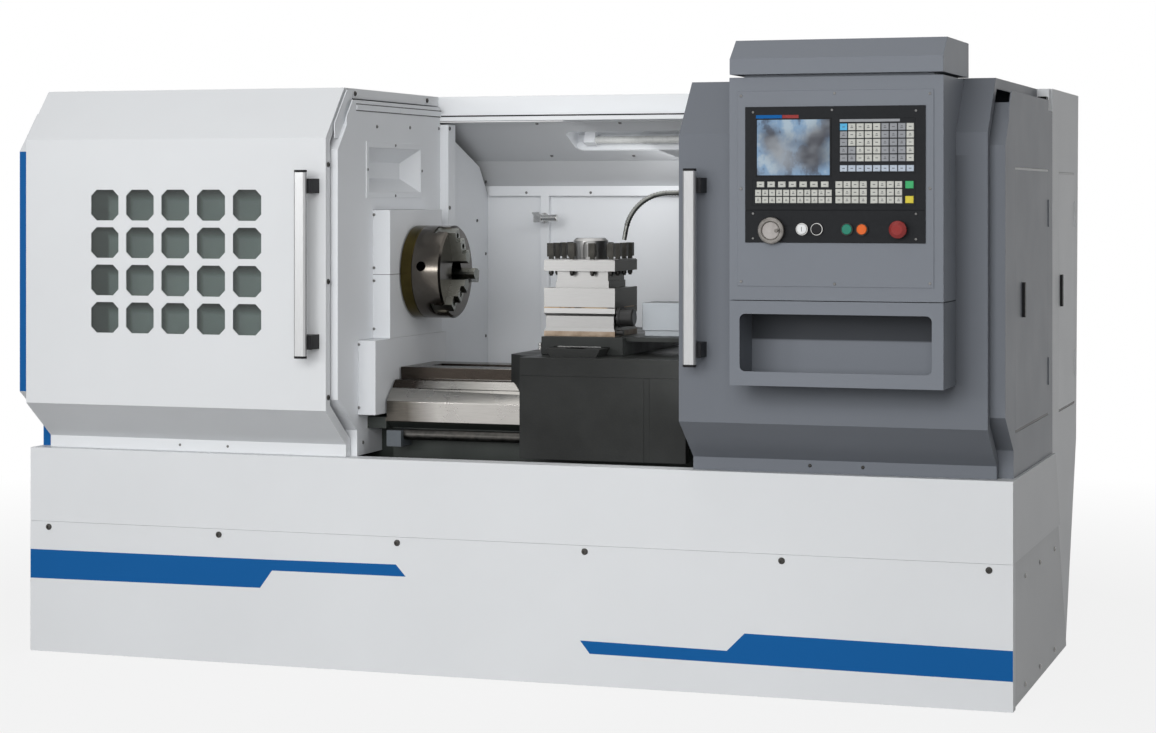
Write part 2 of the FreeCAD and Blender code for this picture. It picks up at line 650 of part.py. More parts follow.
def chuck_body():
    bevel = 6.0
    body = [(BACKPLATE, SPINDLE_BORE_R + 4), (BACKPLATE, CHUCK_R),
            (CHUCK_LENGTH - bevel, CHUCK_R), (CHUCK_LENGTH, CHUCK_R - bevel),
            (CHUCK_LENGTH, SPINDLE_BORE_R + 4)]
    plate = [(0, SPINDLE_BORE_R + 4), (0, CHUCK_R - 3), (3, CHUCK_R),
             (BACKPLATE - 2, CHUCK_R), (BACKPLATE, CHUCK_R - 2),
             (BACKPLATE, SPINDLE_BORE_R + 4)]
    centre = (CHUCK_X, SPINDLE_Y, SPINDLE_Z)
    body = turned(body, centre, X_AXIS, Z_AXIS)
    plate = turned(plate, centre, X_AXIS, Z_AXIS)
    slot = radial_tee(JAW_WIDTH + 2 * SEAT, JAW_TONGUE, 46 + SEAT, 12 + 2 * SEAT,
                      CHUCK_FACE + SEAT / 2, 0, CHUCK_R + 10)
    key_x = CHUCK_X + KEY_HOLE_X
    key_hole = rod((key_x, SPINDLE_Y + CHUCK_R - 34, SPINDLE_Z), Y_AXIS, 40, KEY_HOLE_R)
    socket = box(key_x - 7, key_x + 7, SPINDLE_Y + CHUCK_R - 48, SPINDLE_Y + CHUCK_R - 30,
                 SPINDLE_Z - 7, SPINDLE_Z + 7)
    tools = []
    for angle in jaw_angles():
        tools.append(around_spindle(slot, angle))
        tools.append(around_spindle(key_hole, angle + 180 / JAW_COUNT))
        tools.append(around_spindle(socket, angle + 180 / JAW_COUNT))
    return group([cut(body, tools), plate])


def jaw(index):
    """Stepped jaw whose tongues run in the chuck's tee slot; inner step is the tallest."""
    end, half = CHUCK_R - JAW_END_INSET, JAW_WIDTH / 2
    guide = radial_tee(JAW_WIDTH, JAW_TONGUE - SEAT, 46 - SEAT, 12, CHUCK_FACE, JAW_START, end)
    ends = [start for start, rise in JAW_STEPS[1:]] + [end]
    steps, screws = [], []
    for (start, rise), stop in zip(JAW_STEPS, ends):
        steps.append(box(CHUCK_FACE - 1, CHUCK_FACE + rise, SPINDLE_Y + start, SPINDLE_Y + stop,
                         SPINDLE_Z - half, SPINDLE_Z + half))
        if start > JAW_START:
            middle = (CHUCK_FACE + rise - 9, SPINDLE_Y + (start + stop) / 2, SPINDLE_Z)
            screws.append(rod(middle, X_AXIS, 10, 8))
    tip_half, wedge_end, far = 4.0, JAW_START + 26, CHUCK_R + 1
    wedge = [(JAW_START, -tip_half), (wedge_end, -tip_half - 26), (far, -tip_half - 26),
             (far, tip_half + 26), (wedge_end, tip_half + 26), (JAW_START, tip_half)]
    points = [V(CHUCK_X, SPINDLE_Y + y, SPINDLE_Z + z) for y, z in wedge]
    keep = prism(points, V(CHUCK_LENGTH + 80, 0, 0))
    bar = cut(fuse([guide] + steps).common(keep), screws)
    return around_spindle(bar, jaw_angles()[index])


# Fixed guards ---------------------------------------------------------------------------

def headstock_covers():
    """Two sheet boxes that close the guard's wall round the headstock's nose."""
    end, wall = 1110.0, HEAD_END + 15
    mid_z, top, low = 965.0, 1350.0, LOW_COVER_Z
    y, half = SPINDLE_Y, 210.0
    upper = box(wall, end, y - half, y + half, mid_z + SEAT, top)
    upper = upper.cut(box(wall - 1, end - SHEET, y - half + SHEET, y + half - SHEET,
                          mid_z - 1, top - SHEET))
    upper = upper.cut(rod((end - 10, y, SPINDLE_Z), X_AXIS, 20, NOSE_R + 6))
    front = GUARD_FOOT_Y + SHEET + 6
    lower = box(wall, end, front, y + half + 40, low, mid_z)
    lower = lower.cut(box(wall - 1, end - SHEET, front + SHEET, y + half + 40 - SHEET,
                          low - 1, mid_z - SHEET))
    lower = lower.cut(box(wall - 1, end - SHEET - 20, y - half + SHEET + 12,
                          y + half - SHEET - 12, mid_z - 9, mid_z + 1))
    return group([upper, lower])


def wall_pocket():
    """Shallow pan with sloping sides, let into the guard's inner wall."""
    y0, y1, z0, z1 = 136.0, 579.0, 1387.0, 1554.0
    rim, slope, depth = 14.0, 44.0, 55.0

    def frame(x, margin):
        corners = [(y0 + margin, z0 + margin), (y1 - margin, z0 + margin),
                   (y1 - margin, z1 - margin), (y0 + margin, z1 - margin)]
        points = [V(x, y, z) for y, z in corners]
        return Part.makePolygon(points + points[:1])

    face = GUARD_END
    outer = Part.makeLoft([frame(face - depth, rim + slope), frame(face, rim)], True, True)
    inner = Part.makeLoft([frame(face - depth + SHEET, rim + slope + 1),
                           frame(face + 1, rim + SHEET)], True, True)
    flange = box(face, face + SHEET, y0, y1, z0, z1)
    mouth = box(face - SHEET - 1, face + SHEET + 1, y0 + rim + SHEET, y1 - rim - SHEET,
                z0 + rim + SHEET, z1 - rim - SHEET)
    return flange.cut(mouth), outer.cut(inner), mouth


def under_hood():
    """Upper rear edge of a guard's wall, from the rail down to the tray."""
    rear = REAR_WALL_Y - SEAT
    return [(RAIL_LEDGE - SEAT, HOOD_FRONT_Z - 4), (870, 1568), (1090, 1490), (rear, 1395),
            (rear, TRAY_TOP)]


def upstand(x0, x1):
    """Strip on a guard's roof that closes the gap under the door's roof."""
    return box(x0, x1, UPSTAND_Y, RAIL_LEDGE - SEAT, GUARD_TOP - 1, UPSTAND_TOP)


def left_guard():
    start = 4 + END_GUARD_WIDTH
    skin = prism_x(ribbon(guard_profile(), SHEET), start, GUARD_END)
    inner_top = GUARD_TOP - SHEET
    wall = guard_profile()[:-1] + [(RAIL_LEDGE - SEAT, inner_top)] + under_hood()
    wall = prism_x(wall, GUARD_END - SHEET, GUARD_END)
    y, half = SPINDLE_Y, 210.0
    gate_up = box(GUARD_END - 9, GUARD_END + 9, y - half - SEAT, y + half + SEAT, 900,
                  1350 + SEAT)
    near, far = GUARD_END - 9, GUARD_END + 9
    gate_low = box(near, far, GUARD_FOOT_Y + SHEET + 6 - SEAT, y + half + 40 + SEAT,
                   LOW_COVER_Z - SEAT, 965 + SEAT)
    gate_deck = box(near, far, y - BED_HALF - SEAT, y + BED_HALF + SEAT, DECK_Z - 35 - SEAT,
                    DECK_Z + SEAT)
    gate_plinth = box(near, far, y - BED_HALF + 110 - SEAT, y + BED_HALF - BED_WEB + SEAT,
                      TRAY_TOP - 1, DECK_Z - 30)
    flange, pan, mouth = wall_pocket()
    post = box(GUARD_END, GUARD_END + 28, 735, 797, 1284, HOOD_FRONT_Z - 8)
    wall = cut(wall, [gate_up, gate_low, gate_deck, gate_plinth, mouth])
    return fuse([skin, wall, flange, pan, post, upstand(GUARD_END - SHEET, GUARD_END)])


def left_end_guard():
    start = 4.0
    skin = prism_x(ribbon(guard_profile(), SHEET), start, start + END_GUARD_WIDTH)
    wall = guard_profile()[:-1] + [(RAIL_LEDGE - SEAT, GUARD_TOP)] + under_hood()
    hole = rod((start - 1, SPINDLE_Y, SPINDLE_Z), X_AXIS, SHEET + 2, SPINDLE_BORE_R + BAR_HOLE_MARGIN)
    return fuse([skin, prism_x(wall, start, start + SHEET)]).cut(hole)


def right_guard():
    skin = prism_x(ribbon(guard_profile(), SHEET), RIGHT_DOOR_START + 3, RIGHT_FACE)
    wall = guard_profile()[:-1] + [(CABINET_FRONT - SEAT, GUARD_TOP),
                                   (CABINET_FRONT - SEAT, TRAY_TOP)]
    wall = prism_x(wall, RIGHT_FACE - SHEET, RIGHT_FACE)
    door = box(RIGHT_FACE - 9, RIGHT_FACE + 9, SERVICE_DOOR_Y[0], SERVICE_DOOR_Y[1],
               SERVICE_DOOR_Z[0], SERVICE_DOOR_Z[1])
    roof_strip = upstand(RIGHT_FACE - SHEET, RIGHT_FACE)
    return with_hinge(fuse([skin, wall, roof_strip]).cut(door), SERVICE_DOOR_Y, SERVICE_DOOR_Z)


def rear_guard():
    """Rear wall and sloping hood in one folded sheet, with its frame bars and stiffeners."""
    right = CABINET_LEFT
    path = [(REAR_WALL_Y, TRAY_TOP), (REAR_WALL_Y, REAR_WALL_TOP), HOOD_FOLD,
            (RAIL_REAR + SEAT, HOOD_FRONT_Z)]
    skin = prism_x(ribbon(path, SHEET), 10, right)
    inside = REAR_WALL_Y - REAR_BAR
    low, high = REAR_BAR_Z
    bars = [box(GUARD_END + 12, right, inside, REAR_WALL_Y, low, high)]
    for x in REAR_UPRIGHTS_X:
        bars.append(box(x, x + REAR_UPRIGHT_WIDTH, inside, REAR_WALL_Y, TRAY_TOP + 60, low))
    outside = REAR_WALL_Y + SHEET
    ribs = []
    for x in (420.0, 1230.0, 2040.0):
        ribs.append(box(x, x + 40, outside, outside + 20, TRAY_TOP, REAR_WALL_TOP - 25))
    return fuse([skin.cut(lamp_opening())] + bars + ribs)


def top_rail():
    """Beam across the top that carries both doors on its front ledge."""
    section = [(RAIL_REAR, RAIL_LEDGE_Z[0]), (RAIL_LEDGE, RAIL_LEDGE_Z[0]),
               (RAIL_LEDGE, RAIL_LEDGE_Z[1]), (RAIL_FRONT, RAIL_LEDGE_Z[1]),
               (RAIL_FRONT, DOOR_TOP), (RAIL_REAR, DOOR_TOP)]
    hollow = [(RAIL_REAR - 5, RAIL_LEDGE_Z[0] + 5), (RAIL_FRONT + 5, RAIL_LEDGE_Z[0] + 5),
              (RAIL_FRONT + 5, DOOR_TOP - 5), (RAIL_REAR - 5, DOOR_TOP - 5)]
    x0, x1 = 10.0, RIGHT_FACE - SHEET - SEAT
    rail = prism_x(section, x0, x1).cut(prism_x(hollow, x0 - 1, x1 + 1))
    stops = [box(x, x + 26, RAIL_LEDGE + 2, RAIL_FRONT, RAIL_LEDGE_Z[1], DOOR_TOP - 24)
             for x in (x0 + 4, x1 - 30)]
    return fuse([rail] + stops)


def on_hood(shape):
    """Place a shape drawn with x along the hood, y down its slope and z out of its sheet."""
    fall, back = HOOD_FOLD[1] - HOOD_FRONT_Z, HOOD_FOLD[0] - RAIL_REAR
    placed = shape.copy()
    placed.rotate(V(0, 0, 0), X_AXIS, math.degrees(math.atan2(fall, back)))
    placed.translate(V(0, RAIL_REAR, HOOD_FRONT_Z))
    return placed


def lamp_opening():
    """Cutter with rounded corners for the lamp's opening in the hood."""
    opening = box(*LAMP_X, *LAMP_DOWN, -SHEET, 3 * SHEET)
    edges = [e for e in opening.Edges if abs(e.tangentAt(e.FirstParameter).z) > 0.9]
    return on_hood(opening.makeFillet(LAMP_CORNER, edges))


def work_lamp():
    """Lamp pan on top of the hood's opening, with a holder at each end of its tube."""
    (x0, x1), (y0, y1) = LAMP_X, LAMP_DOWN
    foot, top, rim = SHEET + SEAT, LAMP_HEIGHT, 2 * SHEET
    pan = box(x0 - rim, x1 + rim, y0 - rim, y1 + rim, foot, top)
    pan = pan.cut(box(x0 - SHEET, x1 + SHEET, y0 - SHEET, y1 + SHEET, foot - 1, top - SHEET))
    (tube_y, tube_z), half = LAMP_TUBE, LAMP_TUBE_R + 3
    holders = [box(x, x + HOLDER_WIDTH, tube_y - half, tube_y + half, tube_z - half, top - 1)
               for x in (x0 + HOLDER_INSET, x1 - HOLDER_INSET - HOLDER_WIDTH)]
    return on_hood(fuse([pan] + holders))


def lamp_tube():
    start = LAMP_X[0] + HOLDER_INSET + HOLDER_WIDTH + SEAT / 2
    end = LAMP_X[1] - HOLDER_INSET - HOLDER_WIDTH - SEAT / 2
    return on_hood(rod((start, *LAMP_TUBE), X_AXIS, end - start, LAMP_TUBE_R))


def wall_tap():
    """Washdown tap on the rear wall: flange, stem, valve body, spout and lever."""
    x, z, wall = 1264.0, 1320.0, REAR_WALL_Y - REAR_BAR
    stem = turned([(0, 0), (0, 17), (6, 17), (6, 9), (60, 9), (60, 0)], (x, wall, z),
                  V(0, -1, 0), X_AXIS)
    body = box(x - 13, x + 13, wall - 74, wall - 50, z - 14, z + 14)
    spout = turned([(10, 0), (10, 10), (66, 12), (66, 0)], (x, wall - 62, z), X_AXIS, Z_AXIS)
    lever = box(x - 20, x + 4, wall - 68, wall - 56, z + 13, z + 19)
    return fuse([stem, body, spout, lever])


# Electrical cabinet ---------------------------------------------------------------------

def electrical_cabinet():
    knee_y, knee_z = CABINET_KNEE
    foot = BASE_REAR + SEAT
    outline = [(foot, FLOOR_GAP), (CABINET_FRONT + SEAT, TRAY_TOP),
               (CABINET_FRONT + SEAT, CABINET_TOP), (CABINET_REAR, CABINET_TOP),
               (knee_y, knee_z), (foot + 12, FLOOR_GAP)]
    x0, x1 = CABINET_LEFT + SEAT, RIGHT_FACE
    shell = prism_x(outline, x0, x1)
    core = prism_x(inset(outline, SHEET, True), x0 + SHEET, x1 - SHEET)
    door = box(x1 - 9, x1 + 9, CABINET_DOOR_Y[0], CABINET_DOOR_Y[1], CABINET_DOOR_Z[0],
               CABINET_DOOR_Z[1])
    plate = box(x0 + 60, x0 + 66, CABINET_FRONT + 20, CABINET_REAR - 66, CABINET_DOOR_Z[0] - 40,
                CABINET_TOP - SHEET)
    drives = [box(x0 + 66, x0 + 66 + 170, y, y + 105, CABINET_DOOR_Z[0] + 240,
                  CABINET_DOOR_Z[0] + 560) for y in (860.0, 985.0, 1110.0)]
    frame = with_hinge(shell.cut(core).cut(door), CABINET_DOOR_Y, CABINET_DOOR_Z)
    return fuse([frame, plate] + drives)


def knuckles(door_y, door_z, offset, radius):
    """Hinge barrels on the door's rear edge, each offset along its pin."""
    z0, z1 = door_z
    return [rod((RIGHT_FACE, door_y[1], z + offset), Z_AXIS, KNUCKLE_LENGTH, radius)
            for z in (z0 + HINGE_INSET, z1 - HINGE_INSET - 2 * KNUCKLE_LENGTH)]


def with_hinge(panel, door_y, door_z):
    """Frame side of a side door's hinge: its barrels, and room for the door's barrels."""
    step = KNUCKLE_LENGTH + SEAT
    room = knuckles(door_y, door_z, 0, KNUCKLE_R + SEAT)
    return fuse([cut(panel, room)] + knuckles(door_y, door_z, step, KNUCKLE_R))


def side_door(door_y, door_z, latch_y):
    """Flat door with two folded stiffeners, hinge barrels and a hole for its latch."""
    gap, face = DOOR_EDGE_GAP, RIGHT_FACE
    step = KNUCKLE_LENGTH + SEAT
    (y0, y1), (z0, z1) = door_y, door_z
    plate = box(face - SHEET, face, y0 + gap, y1 - gap, z0 + gap, z1 - gap)
    folds = [box(face - 16, face - SHEET, y, y + SHEET, z0 + 30, z1 - 30)
             for y in (y0 + 60, y1 - 40)]
    room = knuckles(door_y, door_z, step, KNUCKLE_R + SEAT)
    hole = rod((face - SHEET - 1, latch_y, LATCH_Z), X_AXIS, SHEET + 2, LATCH_SHAFT_R + RUN)
    return fuse([cut(plate, room)] + folds + knuckles(door_y, door_z, 0, KNUCKLE_R)).cut(hole)


def service_door():
    return side_door(SERVICE_DOOR_Y, SERVICE_DOOR_Z, SERVICE_LATCH_Y)


def cabinet_door():
    return side_door(CABINET_DOOR_Y, CABINET_DOOR_Z, CABINET_LATCH_Y)


def latch(y):
    """Slim turn handle that lies flat on a side door, on a shaft through the door."""
    x0 = RIGHT_FACE + BUTTON_GAP
    half_w, half_l = LATCH_WIDTH / 2, LATCH_LENGTH / 2
    bar = box(x0, x0 + LATCH_THICK, y - half_w, y + half_w, LATCH_Z - half_l, LATCH_Z + half_l)
    edges = [e for e in bar.Edges if abs(e.tangentAt(e.FirstParameter).x) > 0.9]
    bar = bar.makeFillet(half_w - 3, edges)
    shaft = rod((RIGHT_FACE - 16, y, LATCH_Z), X_AXIS, 17, LATCH_SHAFT_R)
    return fuse([bar, shaft])


def service_latch():
    return latch(SERVICE_LATCH_Y)


def cabinet_latch():
    return latch(CABINET_LATCH_Y)


# Sliding doors --------------------------------------------------------------------------

def sliding_door(x0, x1):
    skin = prism_x(ribbon(door_profile(), SHEET), x0, x1)
    ends = [prism_x(ribbon(door_profile()[:-1], DOOR_RETURN), x, x + SHEET)
            for x in (x0, x1 - SHEET)]
    return fuse([skin] + ends)


def left_door_panel():
    door = sliding_door(*LEFT_DOOR)
    holes = []
    for col in range(GRID_COLS):
        for row in range(GRID_ROWS):
            outline = chamfered_square(GRID_X + col * GRID_PITCH_X, GRID_Z + row * GRID_PITCH_Z,
                                       GRID_HOLE, GRID_CHAMFER)
            holes.append(prism_y(outline, DOOR_FACE_Y - 5, DOOR_FACE_Y + SHEET + 5))
    return cut(door, holes)


def left_door_pane():
    x1 = GRID_X + (GRID_COLS - 1) * GRID_PITCH_X + GRID_HOLE + PANE_MARGIN
    z1 = GRID_Z + (GRID_ROWS - 1) * GRID_PITCH_Z + GRID_HOLE + PANE_MARGIN
    back = DOOR_FACE_Y + SHEET
    return box(GRID_X - PANE_MARGIN, x1, back, back + PANE, GRID_Z - PANE_MARGIN, z1)


def right_door_panel():
    return sliding_door(*RIGHT_DOOR)


def door_handle(x):
    """Extruded bar on two standoffs, with plastic end caps."""
    z0, z1 = HANDLE_Z
    half, back = HANDLE_WIDTH / 2, HANDLE_FRONT + HANDLE_DEPTH
    bevel = 5.0
    section = [(x - half, back), (x - half, HANDLE_FRONT + bevel), (x - half + bevel, HANDLE_FRONT),
               (x + half - bevel, HANDLE_FRONT), (x + half, HANDLE_FRONT + bevel), (x + half, back)]
    bar = prism_z(section, z0 + HANDLE_CAP, z1 - HANDLE_CAP)
    caps = [prism_z(section, z0, z0 + HANDLE_CAP), prism_z(section, z1 - HANDLE_CAP, z1)]
    posts = []
    for z in (z0 + STANDOFF_INSET, z1 - STANDOFF_INSET):
        posts.append(box(x + STANDOFF_X[0], x + STANDOFF_X[1], back, DOOR_FACE_Y,
                         z - STANDOFF_HALF, z + STANDOFF_HALF))
    return group([bar] + caps + posts)


def left_door_handle():
    return door_handle(LEFT_DOOR[1] - HANDLE_INSET)


def right_door_handle():
    return door_handle(RIGHT_DOOR[0] + HANDLE_INSET)


# Control box ----------------------------------------------------------------------------

def on_door(offset):
    return RIGHT_DOOR_START + offset


def control_box():
    x0, x1 = on_door(BOX_LEFT), on_door(BOX_RIGHT)
    z0, z1 = BOX_Z
    fold_z = DOOR_FOLDS_Z[2]
    slope = (DOOR_ROOF_FRONT - DOOR_FACE_Y) / (DOOR_TOP - fold_z)
    back = [(DOOR_FACE_Y - SEAT, z0), (DOOR_FACE_Y - SEAT, fold_z),
            (DOOR_FACE_Y + (z1 - fold_z) * slope - SEAT, z1)]
    outline = [(BOX_FRONT, z0)] + [(BOX_FRONT, z1)] + back[::-1]
    shell = prism_x(outline, x0, x1)
    core = prism_x(inset(outline, SHEET, True), x0 + SHEET, x1 - SHEET)
    mouth = box(on_door(PLATE_X[0]) + 14, on_door(PLATE_X[1]) - 14, BOX_FRONT - 1,
                BOX_FRONT + SHEET + 1, PLATE_Z[0] + 14, PLATE_Z[1] - 14)
    slot = box(x1 - SHEET + 1, x1 + 1, BOX_FRONT + 84, BOX_FRONT + 90, 1380, 1486)
    return cut(shell, [core, mouth, slot])


def control_box_cap():
    """Folded hood over the control box, with a level band and a bevelled top."""
    x0, x1 = on_door(BOX_LEFT) - CAP_SIDE + 11, on_door(BOX_RIGHT) + CAP_SIDE - 2
    z0, z1 = CAP_Z
    outline = [(CAP_FRONT, z0), (CAP_FRONT, z0 + CAP_BAND), (CAP_FRONT + 64, z1),
               (CAP_REAR, z1), (CAP_REAR, z0)]
    core = prism_x(inset(outline, SHEET, True), x0 + SHEET, x1 - SHEET)
    mouth = box(x0 + 30, x1 - 30, CAP_FRONT + 40, CAP_REAR - 40, z0 - 1, z0 + SHEET + 1)
    seat = box(x0 + 30, x1 - 30, BOX_FRONT + 20, -40, BOX_Z[1] + SEAT / 2, z0 + 1)
    seat = seat.cut(box(x0 + 36, x1 - 36, BOX_FRONT + 26, -46, BOX_Z[1] - 1, z0 + 9))
    return fuse([cut(prism_x(outline, x0, x1), [core, mouth]), seat])


def rounded_block(x0, x1, y0, y1, z0, z1, radius):
    block = box(x0, x1, y0, y1, z0, z1)
    edges = [e for e in block.Edges if abs(e.tangentAt(e.FirstParameter).y) > 0.9]
    return block.makeFillet(radius, edges)


def storage_box():
    x0, x1 = on_door(BOX_LEFT), on_door(BOX_RIGHT)
    z0, z1 = STORE_Z
    back = DOOR_FACE_Y - SEAT
    shell = box(x0, x1, BOX_FRONT, back, z0, z1)
    hx0, hx1 = on_door(STORE_HOLE_X[0]), on_door(STORE_HOLE_X[1])
    hz0, hz1 = STORE_HOLE_Z
    core = box(hx0 - 12, hx1 + 12, BOX_FRONT + SHEET, back - SHEET, hz0 - 12, hz1 + 16)
    side_voids = [box(x0 + SHEET, hx0 - 12 - SHEET, BOX_FRONT + SHEET, back - SHEET,
                      z0 + SHEET, z1 - SHEET),
                  box(hx1 + 12 + SHEET, x1 - SHEET, BOX_FRONT + SHEET, back - SHEET,
                      z0 + SHEET, z1 - SHEET)]
    mouth = rounded_block(hx0, hx1, BOX_FRONT - 1, BOX_FRONT + SHEET + 1, hz0, hz1,
                          STORE_CORNER)
    return cut(shell, [core, mouth] + side_voids)


def control_front_plate():
    plate = box(on_door(PLATE_X[0]), on_door(PLATE_X[1]), PLATE_FACE, BOX_FRONT,
                PLATE_Z[0], PLATE_Z[1])
    window = box(on_door(SCREEN_X[0]) - 4, on_door(SCREEN_X[1]) + 4, PLATE_FACE - 1,
                 BOX_FRONT + 1, SCREEN_Z[0] - 4, SCREEN_Z[1] + 4)
    switches = box(on_door(DIAL_X) - 20, on_door(STOP_X) + 20, PLATE_FACE - 1,
                   BOX_FRONT + 1, BUTTON_Z - 20, BUTTON_Z + 20)
    return cut(plate, [window, switches])


def operator_panel():
    """Panel with its key blocks, button bezels and screen opening."""
    z0, z1 = PANEL_Z
    panel = box(on_door(PANEL_X[0]), on_door(PANEL_X[1]), PANEL_FACE, PLATE_FACE, z0, z1)
    keys = box(on_door(KEYPAD_X[0]), on_door(KEYPAD_X[1]), PANEL_FACE - 1, PANEL_FACE,
               KEYPAD_Z[0], KEYPAD_Z[1])
    row = box(on_door(KEY_ROW_X[0]), on_door(KEY_ROW_X[1]), PANEL_FACE - 1, PANEL_FACE,
              KEY_ROW_Z[0], KEY_ROW_Z[1])
    bezels, tools = [], []
    for x in BUTTON_X.values():
        bezels.append(rod((on_door(x), PANEL_FACE - 6, BUTTON_Z), Y_AXIS, 6, BUTTON_BEZEL_R))
        tools.append(rod((on_door(x), PANEL_FACE - 7, BUTTON_Z), Y_AXIS, 12,
                         BUTTON_R + BUTTON_GAP))
    tools.append(rod((on_door(DIAL_X), PANEL_FACE - 1, DIAL_Z), Y_AXIS, 6, DIAL_SHAFT_R + RUN))
    tools.append(rod((on_door(STOP_X), PANEL_FACE - 1, BUTTON_Z), Y_AXIS, 6,
                     STOP_NECK_R + BUTTON_GAP))
    tools.append(box(on_door(SCREEN_X[0]), on_door(SCREEN_X[1]), PANEL_FACE - 1, PLATE_FACE + 1,
                     SCREEN_Z[0], SCREEN_Z[1]))
    tools.append(box(on_door(PANEL_X[0]) - 1, on_door(PANEL_X[1]) + 1, PANEL_FACE - 1,
                     PANEL_FACE + 1, PANEL_DIVIDER_Z - 1, PANEL_DIVIDER_Z + 1))
    return cut(fuse([panel, keys, row] + bezels), tools)


def screen():
    return box(on_door(SCREEN_X[0]) + 0.3, on_door(SCREEN_X[1]) - 0.3, PANEL_FACE + 1,
               PLATE_FACE + SHEET + 8, SCREEN_Z[0] + 0.3, SCREEN_Z[1] - 0.3)


def pulse_handwheel():
    """Hand dial with a bevelled rim, a dished face and a finger knob."""
    profile = [(0, 0), (0, DIAL_R), (17, DIAL_R), (20, DIAL_R - 3), (20, DIAL_R - 9),
               (16, DIAL_R - 12), (16, 0)]
    dial = turned(profile, (on_door(DIAL_X), PANEL_FACE - BUTTON_GAP, DIAL_Z), V(0, -1, 0),
                  X_AXIS)
    shaft = rod((on_door(DIAL_X), PANEL_FACE - 4, DIAL_Z), Y_AXIS, 24, DIAL_SHAFT_R)
    knob = rod((on_door(DIAL_X) + 17, PANEL_FACE - 28, DIAL_Z), Y_AXIS, 14, 5)
    return fuse([dial, shaft, knob])


def push_button(x):
    """Plain cylinder with a bevelled face; its travel ends flush with the bezel."""
    front = 6 + BUTTON_TRAVEL
    profile = [(-14, 0), (-14, BUTTON_R), (front - 1.5, BUTTON_R), (front, BUTTON_R - 1.5),
               (front, 0)]
    return turned(profile, (on_door(x), PANEL_FACE, BUTTON_Z), V(0, -1, 0), X_AXIS)


def emergency_stop():
    """Mushroom head on a neck that slides through the panel."""
    start = STOP_TRAVEL + 1
    profile = [(-16, 0), (-16, STOP_NECK_R), (start, STOP_NECK_R), (start + 6, STOP_R),
               (start + 16, STOP_R), (start + 24, STOP_R - 9), (start + 24, 0)]
    return turned(profile, (on_door(STOP_X), PANEL_FACE, BUTTON_Z), V(0, -1, 0), X_AXIS)


# Carriage -------------------------------------------------------------------------------

def saddle():
    """Bridge over the ways: its underside follows the bed, its top carries a dovetail."""
    y, gap = SPINDLE_Y, SEAT
    flank = OUTER_WAY_Z - FACE_HIGH
    skirt = FACE_HIGH - 4
    x0, x1 = SADDLE_X, SADDLE_X + SADDLE_LENGTH
    front_way, rear_way = y - BED_HALF, y + BED_HALF
    lift = gap * 1.4
    outline = [(SADDLE_FRONT + 20, skirt), (SADDLE_FRONT + 20, SADDLE_LIP_Z),
               (SADDLE_FRONT, SADDLE_LIP_Z), (SADDLE_FRONT, SADDLE_TOP),
               (SADDLE_REAR, SADDLE_TOP), (SADDLE_REAR, SADDLE_LIP_Z - 30),
               (rear_way + 60, skirt), (rear_way + gap, skirt),
               (rear_way + gap, OUTER_WAY_Z + gap), (y + INNER_HALF + gap, OUTER_WAY_Z + gap),
               (y + INNER_HALF + gap, INNER_WAY_Z + gap), (y - INNER_HALF - gap, INNER_WAY_Z + gap),
               (y - INNER_HALF - gap, OUTER_WAY_Z + gap),
               (front_way + flank + 6 - gap, OUTER_WAY_Z + gap),
               (front_way + 0.6 * flank - gap, FACE_HIGH + 0.6 * flank + lift),
               (front_way - gap, FACE_HIGH), (front_way - gap, skirt)]
    body = prism_x(outline, x0 - SADDLE_WING, x1)
    plan = [(x0, SADDLE_FRONT - 1), (x0, SADDLE_FRONT + 70), (x0 - SADDLE_WING, SADDLE_FRONT + 150),
            (x0 - SADDLE_WING, SADDLE_REAR - 240), (x0, SADDLE_REAR - 160), (x0, SADDLE_REAR + 1),
            (x1, SADDLE_REAR + 1), (x1, SADDLE_FRONT - 1)]
    body = body.common(prism_z(plan, skirt - 1, SADDLE_TOP + 1))
    mid = CROSS_X + CROSS_WIDTH / 2
    half = DOVETAIL_TOP / 2
    tail = prism_y([(mid - half + DOVETAIL_UNDERCUT, SADDLE_TOP - 1),
                    (mid - half, SADDLE_TOP + DOVETAIL_RISE), (mid + half, SADDLE_TOP + DOVETAIL_RISE),
                    (mid + half - DOVETAIL_UNDERCUT, SADDLE_TOP - 1)],
                   SADDLE_FRONT + 60, SADDLE_REAR - 10)
    channel = box(mid - 27, mid + 27, SADDLE_FRONT + 70, SADDLE_REAR - 20,
                  INNER_WAY_Z + 6, SADDLE_TOP + DOVETAIL_RISE + 1)
    journal = rod((mid, SADDLE_REAR - 30, X_SCREW_Z), Y_AXIS, 60, X_SCREW_R + RUN)
    web = SPINDLE_Y - BED_HALF + BED_WEB
    nut = rod((x0 + 200, Z_SCREW_Y, Z_SCREW_Z), X_AXIS, 100, NUT_R)
    arm = box(x0 + 200, x0 + 300, SADDLE_FRONT + 22, front_way - 8, Z_SCREW_Z - NUT_R, skirt + 1)
    arm = arm.fuse(box(x0 + 200, x0 + 300, front_way - 10, web - 22, Z_SCREW_Z - NUT_R,
                       Z_SCREW_Z + 18))
    bore = rod((x0 + 199, Z_SCREW_Y, Z_SCREW_Z), X_AXIS, 102, Z_SCREW_R + RUN)
    body = cut(fuse([body, tail]), [channel, journal])
    return fuse([body, nut, arm]).cut(bore)


